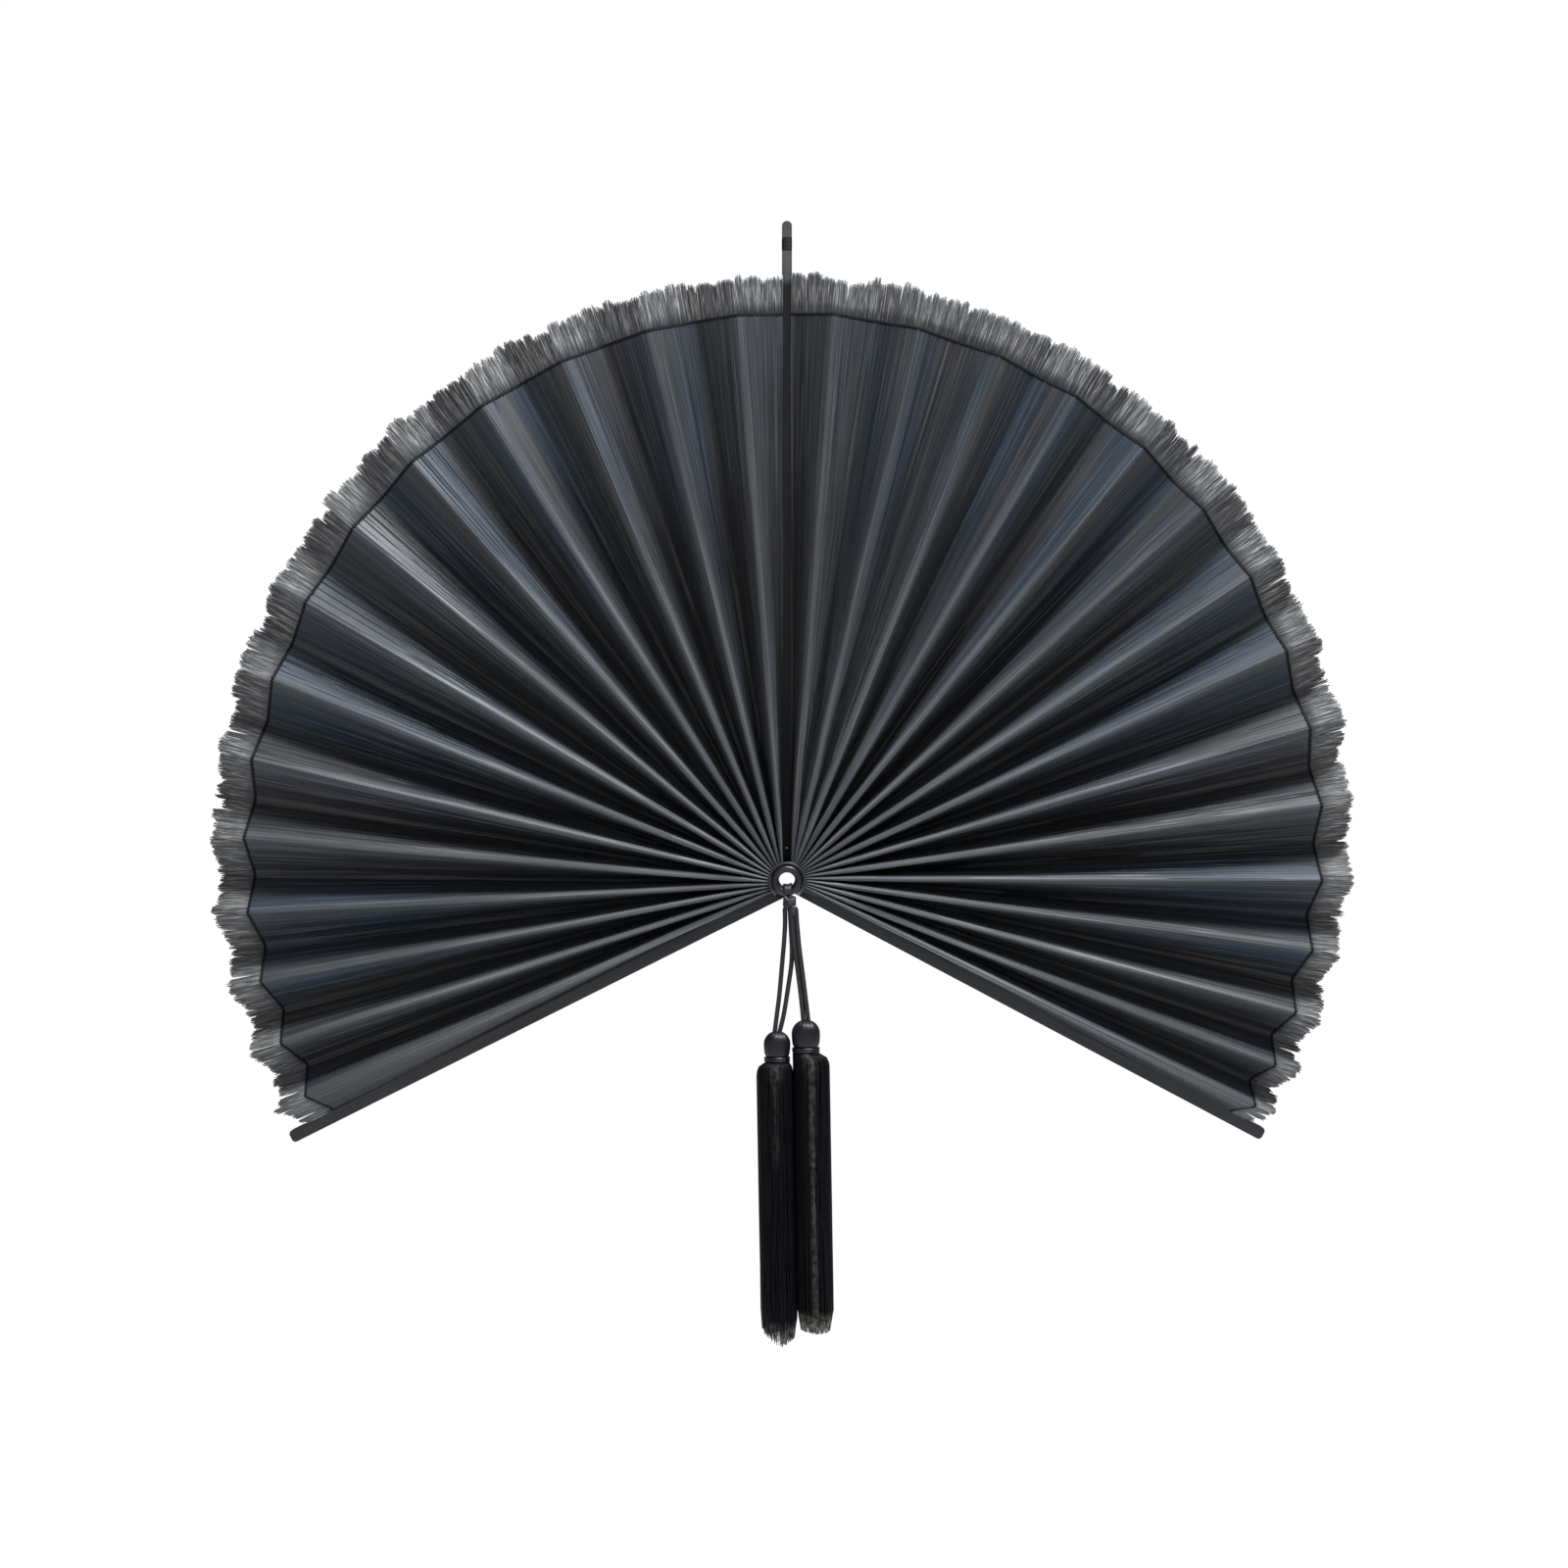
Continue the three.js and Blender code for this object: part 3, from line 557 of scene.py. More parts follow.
# The upright stick is darker below a height just under the leaf's rim: painted shade where it lies among the
# pleats
WOOD = stained_wood("stained_wood", (0.0025, 0.0027, 0.0036), (0.010, 0.011, 0.014), 0.5,
                    unshaded_above=((0.022, 0.023, 0.026), (0.100, 0.102, 0.112), -30 * MM), specular=0.2)
GUARD_WOOD = {s: stained_wood(f"{s}_guard_wood", (0.006, 0.0065, 0.008), (0.026, 0.028, 0.033), 0.4,
                              -SIGN[s] * math.radians(117)) for s in SIGN}
HUB = stained_wood("hub_lacquer", (0.0022, 0.0022, 0.0032), (0.0080, 0.0080, 0.0115), 0.36)
STEEL = pin_steel()
print("finishes", [m.name for m in (STITCH, BINDING, CORD, SATIN, HEAD, WOOD, HUB, STEEL)])

# %% [markdown]
# ## The leaf
#
# A strip of the mat keeps its width wherever it is folded. Near the hub the strips stand on
# edge in a tight stack, and towards the rim they open out flat. So at every cut across a
# pleat the strip is one curve of fixed length that must reach from its ridge to its valley.
#
# The curve is given by how far it leans at each share of its width: level at the ridge, steep
# and nearly straight down the flank, level again in the valley. The wider the fold stands
# open, the less it leans. The lean that just spans the gap is found by halving an interval,
# for all cuts at once.

# %% The plan of the leaf
HUB_Z = -0.506
START_RADIUS = 11.9 * MM
CENTRE_RADIUS = 479 * MM  # of the rim beside the stick
END_RADIUS = {"left": 440 * MM, "right": 426 * MM}  # and at the guards
SCALLOP_CENTRE = 0.5 * MM  # how much shorter a valley is than a ridge beside the stick
SCALLOP_END = 10 * MM  # and at the guards
PLEATS = {"left": 14, "right": 15}
CLOSING = 0.1  # how much the last pleats give up at the rim to the others
CLOSING_POWER = {"left": 4, "right": 6}
GUARD_AZIMUTH = {"left": math.radians(116.6), "right": math.radians(117.9)}
FIRST_PAST = 3.1 * MM  # how far beside the stick's middle the first fold runs
EDGE_PAST = {"left": 3.3 * MM, "right": -1.5 * MM}  # and beside the guard's the last one
LEAF_BACK = -12.2 * MM
STRIP_WIDTH = 41.6 * MM
SHEET = 0.8 * MM  # thick


def turns_past(distance, outer_radius):
    """The angles by which a line that runs beside a radius, at a distance, leads it at its two ends."""
    return np.array([math.asin(distance / START_RADIUS), math.asin(distance / outer_radius)])


def fold_azimuths(side, share):
    """Where a fold lies round the hub, at its inner and outer end; share runs from the stick to the guard."""
    first = turns_past(FIRST_PAST, CENTRE_RADIUS)
    last = GUARD_AZIMUTH[side] + turns_past(EDGE_PAST[side], END_RADIUS[side])
    eased = np.array([share, (share - CLOSING * share ** CLOSING_POWER[side]) / (1 - CLOSING)])
    return first + (last - first) * eased


def rim_radius(side, azimuth, valley):
    """The leaf gets shorter by the square of the azimuth, and its valleys a little more than its ridges."""
    share = (azimuth / GUARD_AZIMUTH[side]) ** 2
    ridge = CENTRE_RADIUS + (END_RADIUS[side] - CENTRE_RADIUS) * share
    return ridge - valley * (SCALLOP_CENTRE + (SCALLOP_END - SCALLOP_CENTRE) * share)


def fold_line(side, share, valley, along):
    """Points (x, z) on the straight line of one fold, at shares along it from the hub to the rim."""
    inner, outer = fold_azimuths(side, share)
    radius = rim_radius(side, outer, valley)
    a = np.array([SIGN[side] * math.sin(inner), math.cos(inner)]) * START_RADIUS
    b = np.array([SIGN[side] * math.sin(outer), math.cos(outer)]) * radius
    return a + (b - a) * np.asarray(along)[:, None]


print("pleats", PLEATS)

# %% [markdown]
# The bends at the ridge and at the valley take a share of the strip's width, and the flank
# between them is straight. Eased steps join the three. Each cut then needs one number, its
# steepest lean, and the height of the ridge follows from it.

# %% The section of a strip
SPLINTS = 32
FINE = 8  # steps of the section for half a splint
RIDGE_BEND, RIDGE_BEND_LESS = 0.065, 0.03  # share of the width, and how much less where wide open
VALLEY_BEND = 0.11
RIDGE_ROOM, VALLEY_ROOM = 0.75, 0.60  # the most of the openness that the bends may take
STEEPEST_LEAN = 1.75
HALVINGS = 40


def bending_shares(openness):
    """How much of the width bends at the ridge and at the valley: less near the hub, for lack of room."""
    ridge = np.minimum(RIDGE_ROOM * openness, RIDGE_BEND - RIDGE_BEND_LESS * openness)
    valley = np.minimum(VALLEY_ROOM * openness, VALLEY_BEND)
    return ridge, valley


def running_sum(slope, step):
    """How far each column has come across the strip, by the mean slope of every step before it."""
    steps = (slope[:, 1:] + slope[:, :-1]) / 2 * step
    return np.concatenate([np.zeros_like(slope[:, :1]), np.cumsum(steps, 1)], 1)


def strip_section(half_gap):
    """The strip's curve at cuts whose folds are half_gap apart: reach, height above the valley, and lean."""
    openness = np.clip(half_gap / STRIP_WIDTH, 0.005, 0.985)[:, None]
    ridge, valley = bending_shares(openness)
    u = np.linspace(0, 1, 2 * SPLINTS * FINE + 1)[None, :]
    shape = smooth(u / ridge) * smooth((1 - u) / valley)
    low, high = np.zeros_like(openness), np.full_like(openness, STEEPEST_LEAN)
    for _ in range(HALVINGS):
        middle = (low + high) / 2
        wide = np.cos(middle * shape).mean(axis=1, keepdims=True) > openness
        low, high = np.where(wide, middle, low), np.where(wide, high, middle)
    lean = low * shape
    step = np.diff(u, axis=1)
    reach, drop = running_sum(np.cos(lean), step), running_sum(np.sin(lean), step)
    return reach / reach[:, -1:], STRIP_WIDTH * (drop[:, -1:] - drop), lean


reach, height, lean = strip_section(np.array([2, 10, 20, 30, 38]) * MM)
print("ridge heights in mm", (height[:, 0] / MM).round(1))
print("lean in degrees", np.degrees(lean.max(1)).round(0))

# %% [markdown]
# A flank is one strip between its ridge and its valley. The next function gives places on it
# for any set of shares along the fold and columns across the strip, lifted off the middle of
# the sheet by a distance along its own normal. Everything on the leaf is then made with it:
# the splints, the stitching and the loose ends.

# %% Places on a flank


def half_gaps(side, pleat, along):
    """Half the distance between a pleat's two valleys, at shares along the fold."""
    count = PLEATS[side]
    a = fold_line(side, (pleat - 1) / count, True, along)
    b = fold_line(side, pleat / count, True, along)
    return np.linalg.norm(a - b, axis=1) / 2


def flank_places(side, pleat, outward, along, columns, lift):
    """Points on a strip: rows are shares along the fold, columns are steps from ridge to valley."""
    count = PLEATS[side]
    ridge = fold_line(side, (pleat - 0.5) / count, False, along)
    valley = fold_line(side, (pleat if outward else pleat - 1) / count, True, along)
    reach, height, lean = (a[:, columns] for a in strip_section(half_gaps(side, pleat, along)))
    way = valley - ridge
    unit = way / np.linalg.norm(way, axis=1)[:, None]
    flat = ridge[:, None] + way[:, None] * reach[..., None] + unit[:, None] * (lift * np.sin(lean))[..., None]
    y = LEAF_BACK - SHEET / 2 - height - lift * np.cos(lean)
    return np.stack([flat[..., 0], y, flat[..., 1] + HUB_Z], axis=-1), reach


def to_next_pleat(reach, outward):
    """How far a place goes over to the next pleat, from 0 on one ridge to a half in the valley to 1."""
    return 0.5 * reach if outward else 1 - 0.5 * reach


def flank_map(side, pleat, outward, low, high, rows=6):
    """A flank's middle surface between two shares along it: places, the way off it, and the reach."""
    along = np.linspace(low, high, rows)
    every = np.arange(2 * SPLINTS * FINE + 1)
    middle, reach = flank_places(side, pleat, outward, along, every, 0.0)
    above, _ = flank_places(side, pleat, outward, along, every, 1.0)
    return low, high, middle, above - middle, reach


def on_flank(flank, along, across, lift):
    """Places on a mapped flank, by share along and across it: each is mixed from the map's four nearest."""
    low, high, middle, away, reach = flank
    rows, columns = reach.shape
    row = np.clip((along - low) / (high - low), 0, 1) * (rows - 1)
    column = np.clip(across, 0, 1) * (columns - 1)
    r, c = np.minimum(row.astype(int), rows - 2), np.minimum(column.astype(int), columns - 2)
    s, t = (row - r)[..., None], (column - c)[..., None]

    def mix(grid):
        near = grid[r, c] * (1 - t) + grid[r, c + 1] * t
        far = grid[r + 1, c] * (1 - t) + grid[r + 1, c + 1] * t
        return near * (1 - s) + far * s

    return mix(middle) + mix(away) * np.asarray(lift)[..., None], mix(reach[..., None])[..., 0]


print("a point", flank_places("left", 1, True, [1.0], [0], 0.0)[0][0, 0].round(4))

# %% [markdown]
# Each piece of the leaf runs from one ridge through a valley to the next ridge. The two
# pleats that it joins are bodies of the frame. Its front and back are two grids a sheet apart,
# closed round the edge. Every second column is the crown of a splint, and the ones between are
# the grooves. Crowns get their own heights, because the streaks in the real leaf are splints that
# lie a little proud or turned and catch the light. The outer rows slide along the splints
# until the sheet ends just past the line where it will be stitched.

# %% Woven pieces
SPAN = CENTRE_RADIUS - START_RADIUS
HEM = 31.3 * MM  # from the stitches to the rim beside the stick
HEM_LESS = {"left": 4 * MM, "right": 12 * MM}  # how much narrower it is at the guards
HEM_POWER = {"left": 2, "right": 3}
VALLEY_OUT = 2.8 * MM  # how far the stitched line runs out in a valley
PAST_STITCHES = 0.6 * MM
SLIDE_POWER = 4
PRESSED = 0.45  # share of the sheet's thickness that is left at the hub
PRESSED_UNTIL = 0.12  # share along the fold
ROWS = 40
ROW_POWER = 1.3
CROWN = 0.17 * MM  # how far a splint's crown stands proud of the sheet
GROOVE = -0.10 * MM
WAVE = 0.10 * MM
UNEVEN = 0.05 * MM
BACK_RELIEF = 0.6  # of the front's
# Painted highlight on the ridges, and painted shade deep in the valleys
HIGHLIGHT_AT_HUB, HIGHLIGHT_RISE, HIGHLIGHT_FALL = 0.35, 0.65, 0.6
HIGHLIGHT_BY_STICK = 0.45
HIGHLIGHT_REACH = 4  # mm down the flank at the hub, and twice that at the rim
HIGHLIGHT_POWER = 1.3
SHADE_FROM, SHADE_OVER = 7, 20  # mm down the flank
dice = np.random.default_rng(29)


def stitch_share(side, pleat):
    """How far along its folds a pleat's stitched line lies: nearer the rim on the last pleats."""
    share = (pleat - 0.5) / PLEATS[side]
    outer = fold_azimuths(side, share)[1]
    hem = HEM - HEM_LESS[side] * share ** HEM_POWER[side]
    return 1 - hem / (rim_radius(side, outer, False) - START_RADIUS)


def stitch_line(side, pleat, outward, across):
    """The stitched line's share along a flank: the pleat's own at the ridge, and in the valley the two
    pleats' mean and a little more."""
    other = np.clip(pleat + (1 if outward else -1), 1, PLEATS[side])
    here, there = stitch_share(side, pleat), stitch_share(side, other)
    return here + ((there - here) / 2 + VALLEY_OUT / SPAN) * across


def crowding(along):
    """The sheet is pressed thinner where the strips are packed at the hub."""
    return PRESSED + (1 - PRESSED) * smooth(np.asarray(along) / PRESSED_UNTIL)


def splint_relief(rows, columns):
    """Heights of crowns and grooves: an own height for each splint and a slow wave along it."""
    own = np.where(np.arange(columns) % 2 == 0, CROWN * dice.uniform(0.3, 1.7, columns), GROOVE)
    own = own + UNEVEN * dice.standard_normal(columns)
    own[[0, -1]] = CROWN
    phase = dice.uniform(0, 2 * np.pi, columns)
    turns = dice.uniform(1.0, 3.5, columns)
    wave = WAVE * np.sin(np.linspace(0, 2 * np.pi, rows)[:, None] * turns + phase)
    wave[:, [0, -1]] = 0
    return own[None, :] + wave


def leaf_flanks(side, fold):
    """The flanks that meet in a fold's valley: (pleat, True) before it and (pleat, False) after it."""
    count = PLEATS[side]
    return [(fold, True)] * (fold > 0) + [(fold + 1, False)] * (fold < count)


def to_stitching(side, pleat, outward, along, points):
    """Slides a flank's outer rows along their splints, so that the sheet's end follows the stitched line."""
    line = stitch_line(side, pleat, outward, np.linspace(0, 1, points.shape[1]))
    way = points[-1] - points[-2]
    way = way / np.linalg.norm(way, axis=1)[:, None]
    short = (line - along[-1]) * SPAN + PAST_STITCHES
    return points + way * short[:, None] * (along / along[-1])[:, None, None] ** SLIDE_POWER


def sheet_grid(side, fold, along, lift):
    """One face of a leaf piece as a grid, with its blend and its distance across the mat."""
    places, blends, widths = [], [], []
    half = 2 * SPLINTS
    for pleat, outward in leaf_flanks(side, fold):
        steps = np.arange(half + 1) * FINE
        mine = lift[:, : half + 1] if outward or fold == 0 else lift[:, -half - 1:]
        if not outward:
            mine = mine[:, ::-1]
        points, reach = flank_places(side, pleat, outward, along, steps, mine)
        points = to_stitching(side, pleat, outward, along, points)
        blend = to_next_pleat(reach, outward)
        width = (fold - 1 + steps / steps[-1]) if outward else (fold + 1 - steps / steps[-1])
        if not outward:
            points, blend, width = points[:, ::-1], blend[:, ::-1], width[::-1]
        skip = 1 if places else 0
        places.append(points[:, skip:])
        blends.append(blend[:, skip:])
        widths.append(width[skip:])
    return np.concatenate(places, 1), np.concatenate(blends, 1), np.concatenate(widths) * STRIP_WIDTH


def shell_faces(rows, columns):
    """Faces of two grids, front and back, closed along all four edges."""
    front = grid_faces(rows, columns)
    number = np.arange(rows * columns).reshape(rows, columns)
    edge = np.concatenate([number[0, :-1], number[:-1, -1], number[-1, :0:-1], number[:0:-1, 0]])
    after = np.roll(edge, -1)
    far = rows * columns
    wall = np.stack([after, edge, edge + far, after + far], axis=-1)
    return [np.concatenate([front, front[:, ::-1] + far, wall])]


def ridge_highlight_and_valley_shade(side, width, fold, along):
    """Painted highlight on the ridges, most a third of the way out and far from the stick, falling off by a
    power of the distance down the flank; below 0, painted shade deep in a valley of the inner half."""
    down = np.maximum(STRIP_WIDTH - np.abs(width[None, :] - fold * STRIP_WIDTH), 0)
    outward = along[:, None]
    # Painted highlight on the ridges, weaker by the stick
    most = HIGHLIGHT_AT_HUB + HIGHLIGHT_RISE * smooth(outward / 0.25) - HIGHLIGHT_FALL * smooth((outward - 0.35) / 0.6)
    highlight_away_from_stick = HIGHLIGHT_BY_STICK + (1 - HIGHLIGHT_BY_STICK) * smooth(fold / PLEATS[side] / 0.5)
    # Painted shade deep in the valleys of the inner half, as a number below zero
    deep = smooth((down / MM - SHADE_FROM) / SHADE_OVER) * (1 - smooth((outward - 0.3) / 0.65))
    reach = (HIGHLIGHT_REACH + HIGHLIGHT_REACH * outward) * MM
    return highlight_away_from_stick * most * np.exp(-((down / reach) ** HIGHLIGHT_POWER)) - deep


def woven_piece(side, fold):
    """The woven leaf from one ridge to the next."""
    flanks = leaf_flanks(side, fold)
    end = np.mean([stitch_share(side, pleat) for pleat, _ in flanks])
    along = end * np.linspace(0, 1, ROWS) ** ROW_POWER
    columns = 2 * SPLINTS * len(flanks) + 1
    press = crowding(along)[:, None]
    relief = splint_relief(ROWS, columns) * press
    front, blend, width = sheet_grid(side, fold, along, SHEET / 2 * press + relief)
    back, _, _ = sheet_grid(side, fold, along, -SHEET / 2 * press + relief * BACK_RELIEF)
    uv = pattern_places(width[None, :], (along * SPAN)[:, None])
    points = np.concatenate([front.reshape(-1, 3), back.reshape(-1, 3)])
    # Painted highlight on the ridges and painted shade in the valleys, for the finish to read
    wear_and_painted_light = np.tile(ridge_highlight_and_valley_shade(side, width, fold, along).ravel(), 2)
    piece = new_piece(f"{side}_leaf_{fold:02d}", points, shell_faces(ROWS, columns), SPLINT,
                      np.concatenate([uv, uv]), sharp=55, wear_and_painted_light=wear_and_painted_light)
    return piece, np.tile(blend.ravel(), 2)


def body_pair(side, fold):
    """The two bodies that a leaf piece joins; the last one has a single body."""
    before = f"{side}_pleat_{fold:02d}" if fold else "hub_and_stick"
    after = f"{side}_pleat_{fold + 1:02d}" if fold < PLEATS[side] else before
    return before, after


def hang_on_pleats(piece, side, fold):
    """Hangs a piece with a single body on it, so the last strip turns as one. A piece between two pleats
    stays in place, on neither of them.
    """
    before, after = body_pair(side, fold)
    if before == after:
        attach(piece, before)
    else:
        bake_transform(piece)


leaf = {}
for side in SIGN:
    for fold in range(PLEATS[side] + 1):
        piece, blend = woven_piece(side, fold)
        hang_on_pleats(piece, side, fold)
        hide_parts(*[f"{side}_pleat_{pleat:02d}" for pleat, _ in leaf_flanks(side, fold)])
        leaf[side, fold] = piece
print(len(leaf), "leaf pieces,", sum(len(p.data.polygons) for p in leaf.values()), "faces")

# %% [markdown]
# ### The stitched line
#
# A line of dark thread crosses every strip a finger's width in from the rim. It holds the
# splints side by side, and they fray beyond it. A painted line would look the same from
# every side, so each stitch is a low oval of thread, thin where it dives into the mat.

# %% Stitches
STITCH_LENGTH = 3.3 * MM
STITCH_HALF = 1.5 * MM
STITCH_HEIGHT = 0.40 * MM
STITCH_LIFT = 0.15 * MM
MAP_LOW = 0.89  # the flank is mapped from here to the rim


def stitch_strip(side, pleat, outward):
    """Stitches across one flank: a flat tube whose width and height rise and fall once in each stitch."""
    flank = flank_map(side, pleat, outward, MAP_LOW, 1.0)
    rows, sides = 97, 6
    across = np.linspace(0, 1, rows)
    beat = np.abs(np.sin(np.pi * across * round(STRIP_WIDTH / STITCH_LENGTH))) ** 0.6
    turn = round_turn(sides)
    wide = (STITCH_HALF * (0.35 + 0.65 * beat))[:, None] * np.cos(turn)
    high = (STITCH_HEIGHT * (0.4 + 0.6 * beat))[:, None] * np.sin(turn)
    line = stitch_line(side, pleat, outward, across)
    along = line[:, None] + wide / SPAN
    lift = SHEET / 2 + STITCH_LIFT + high
    points, reach = on_flank(flank, along, np.repeat(across[:, None], sides, 1), lift)
    uv = pattern_places(turn * STITCH_HALF, across[:, None] * STRIP_WIDTH)
    return points.reshape(-1, 3), tube_faces(rows, sides), uv, to_next_pleat(reach, outward).ravel()


def strips_piece(name, side, fold, make, material):
    """One piece of what make() gives for each flank at a fold, hung like the leaf piece at that fold."""
    made = [make(side, pleat, outward) for pleat, outward in leaf_flanks(side, fold)]
    points, faces, uv = joined([part[:3] for part in made])
    wear_and_painted_light = np.concatenate([part[4] for part in made]) if len(made[0]) > 4 else None
    piece = new_piece(f"{side}_{name}_{fold:02d}", points, faces, material, uv, wear_and_painted_light=wear_and_painted_light)
    hang_on_pleats(piece, side, fold)
    return piece


stitching = {key: strips_piece("stitching", *key, stitch_strip, STITCH) for key in leaf}
print(len(stitching), "rows of stitches")

# %% [markdown]
# ### The frayed rim
#
# Past the stitching nothing binds the splints. They cling in tufts of a few, leave dark gaps
# between tufts, curl off the mat, and break at different lengths. Each is its own thin strip
# of some twenty faces. A tuft draws its splints together a little towards the tip and rounds
# its outline off, which gives the rim its blunt lumps, with a deep notch here and there. A
# second layer behind is shorter and stays even, so that no gap shows through.

# %% Loose splint ends
LOOSE_WIDTH = 1.22 * MM
LOOSE_THICKNESS = 0.34 * MM
LAYERS = 2
LONGER_IN_VALLEY = 3.8 * MM
SHORTER_BY_GUARD = 1.5 * MM
SHORTER_BEHIND = 1.6 * MM
SLOW_DRIFT, TUFT_UNEVEN, END_UNEVEN = 1.2, 1.5, 0.55  # mm
NOTCH_DEPTH, NOTCH_CHANCE = 4.0, 0.08
ROUNDED_OFF = 2.2  # mm, at a tuft's sides
SHORTEST, LONGEST = -8, 6  # mm past the rim
TUFT_CURL, OWN_CURL = 0.8, 0.25  # mm off the mat, at the tip
PULL = (0.01, 0.06)  # share of the way to the tuft's middle that its tips lean
PULL_BEHIND = 0.1  # of the front layer's
OWN_LEAN = 0.0045  # share of the strip's width
STAND_OFF, BEHIND = 0.3, 0.42  # mm
ROOT_INSIDE = 0.4 * MM
MAP_HIGH = 1.04  # some ends stand past the rim
LOOSE_PLACES = np.array([0, 0.35, 0.65, 0.9, 1])
LOOSE_SHAPE = np.array([1, 1, 0.98, 0.92, 0.62])


def tuft_numbers(count, layers):
    """Sorts splints into tufts: a number that goes up by one after five to fifteen splints of a layer."""
    starts = np.cumsum(dice.integers(5, 16, count)) * layers
    return np.searchsorted(starts, np.arange(count), side="right")


def ragged_lengths(home, tuft):
    """How far each end stands past the rim: its tuft's own length, less at the tuft's sides, with notches."""
    tufts = tuft.max() + 1
    first = np.array([home[tuft == n].min() for n in range(tufts)])
    last = np.array([home[tuft == n].max() for n in range(tufts)])
    inside = (home - (first + last)[tuft] / 2) / np.maximum((last - first)[tuft] / 2, 1e-3)
    slow = np.interp(home, np.linspace(0, 1, 4), dice.standard_normal(4)) * SLOW_DRIFT
    own = dice.standard_normal(tufts) * TUFT_UNEVEN - NOTCH_DEPTH * (dice.random(tufts) < NOTCH_CHANCE)
    length = slow + own[tuft] - ROUNDED_OFF * inside**4 + END_UNEVEN * dice.standard_normal(len(home))
    return np.clip(length, SHORTEST, LONGEST) * MM


def loose_ends(side, pleat, outward):
    """The loose ends on one flank: flat blunt strips from the stitched line to about the rim, where each
    leans to the middle of its tuft and lifts off the mat by a power of its own length."""
    flank = flank_map(side, pleat, outward, MAP_LOW, MAP_HIGH, 8)
    count = SPLINTS * LAYERS
    home = (np.arange(count) + 0.5) / count
    layer = np.arange(count) % LAYERS
    tuft = tuft_numbers(count, LAYERS)
    centre = np.bincount(tuft, home) / np.maximum(np.bincount(tuft), 1)
    pull = dice.uniform(*PULL, tuft.max() + 1)[tuft] * np.array([1, PULL_BEHIND])[layer]
    tuft_curl = dice.standard_normal(tuft.max() + 1)[tuft] * TUFT_CURL
    curl = (tuft_curl + dice.standard_normal(count) * OWN_CURL) * MM
    root = stitch_line(side, pleat, outward, home) - ROOT_INSIDE / CENTRE_RADIUS
    under = np.array([0, SHORTER_BEHIND])[layer] * dice.uniform(0.4, 1.6, count)
    by_guard = smooth(((pleat - 0.5) / PLEATS[side] - 0.35) / 0.4)
    longer = LONGER_IN_VALLEY * home - SHORTER_BY_GUARD * by_guard
    tip = 1 + (ragged_lengths(home, tuft) + longer - under) / SPAN
    t = LOOSE_PLACES[None, :]
    along = root[:, None] + (tip - root)[:, None] * t
    middle = home[:, None] + (centre[tuft] - home)[:, None] * pull[:, None] * t**1.5
    middle = middle + (dice.standard_normal(count)[:, None] * OWN_LEAN) * t**2
    lift = (STAND_OFF - BEHIND * layer[:, None]) * MM + curl[:, None] * t**1.5
    half = LOOSE_WIDTH / 2 / STRIP_WIDTH * LOOSE_SHAPE[None, :]
    corner_across = np.array([-1, 1, 1, -1])
    corner_lift = np.array([-1, -1, 1, 1]) * LOOSE_THICKNESS / 2
    across = np.clip(middle[..., None] + half[..., None] * corner_across, 0, 1)
    points, reach = on_flank(flank, np.repeat(along[..., None], 4, 2), across, lift[..., None] + corner_lift)
    u = (home * 3 + pleat * 1.7 + (0 if outward else 0.31)) * STRIP_WIDTH
    v = t * (tip - root)[:, None] * CENTRE_RADIUS
    uv = pattern_places(u[:, None, None] + corner_across * 0.3 * MM, v[..., None])
    wear_and_painted_light = np.broadcast_to((0.45 + 0.55 * t**1.5)[..., None], points.shape[:3])
    blend = to_next_pleat(reach, outward)
    return points.reshape(-1, 3), many_tube_faces(count, t.size), uv, blend.ravel(), wear_and_painted_light.ravel()


fringe = {key: strips_piece("frayed_rim", *key, loose_ends, FRAYED) for key in leaf}
print(len(fringe), "frayed pieces,", sum(len(p.data.polygons) for p in fringe.values()), "faces")

# %% [markdown]
# The leaf is cloth-like. For each piece of it, the line of a valley fold is worked out
# from the hub to the rim.

# %% The valley folds of the leaf
for (side, fold), piece in leaf.items():
    line = fold_line(side, fold / PLEATS[side], True, [0.0, 1.0])

# %% [markdown]
# ## The sticks
#
# The three sticks keep the frame's own solids, whose shapes are right: planed laths with a
# rounded tip and an eye for the hub. A small live bevel takes the knife edge off, so that
# their arrises catch a line of light, and their finish follows each stick's own direction.

# %% Sticks, washer and pin
ARRIS = 0.7 * MM


def settle(piece, body, slot, *nodes):
    """Hangs a piece on a body and hides the frame's solids that it stands for. The slot is not used."""
    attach(piece, body)
    if nodes:
        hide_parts(*nodes)


def soften(node, material, width, name):
    """A CAD node with its finish and a small bevel on its sharp edges."""
    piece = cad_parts[node]
    for place in range(max(1, len(piece.material_slots))):
        piece.material_slots[place].material = material
    bevel = piece.modifiers.new("soft_arris", "BEVEL")
    bevel.width = width
    bevel.segments = 2
    bevel.limit_method = "ANGLE"
    bevel.angle_limit = math.radians(40)
    print(name, "keeps its solid")


soften("hanging_stick", WOOD, ARRIS, "the upright stick")
for side in SIGN:
    soften(f"{side}_guard", GUARD_WOOD[side], ARRIS, f"the {side} guard")
soften("back_washer", HUB, 0.25 * MM, "the back washer")


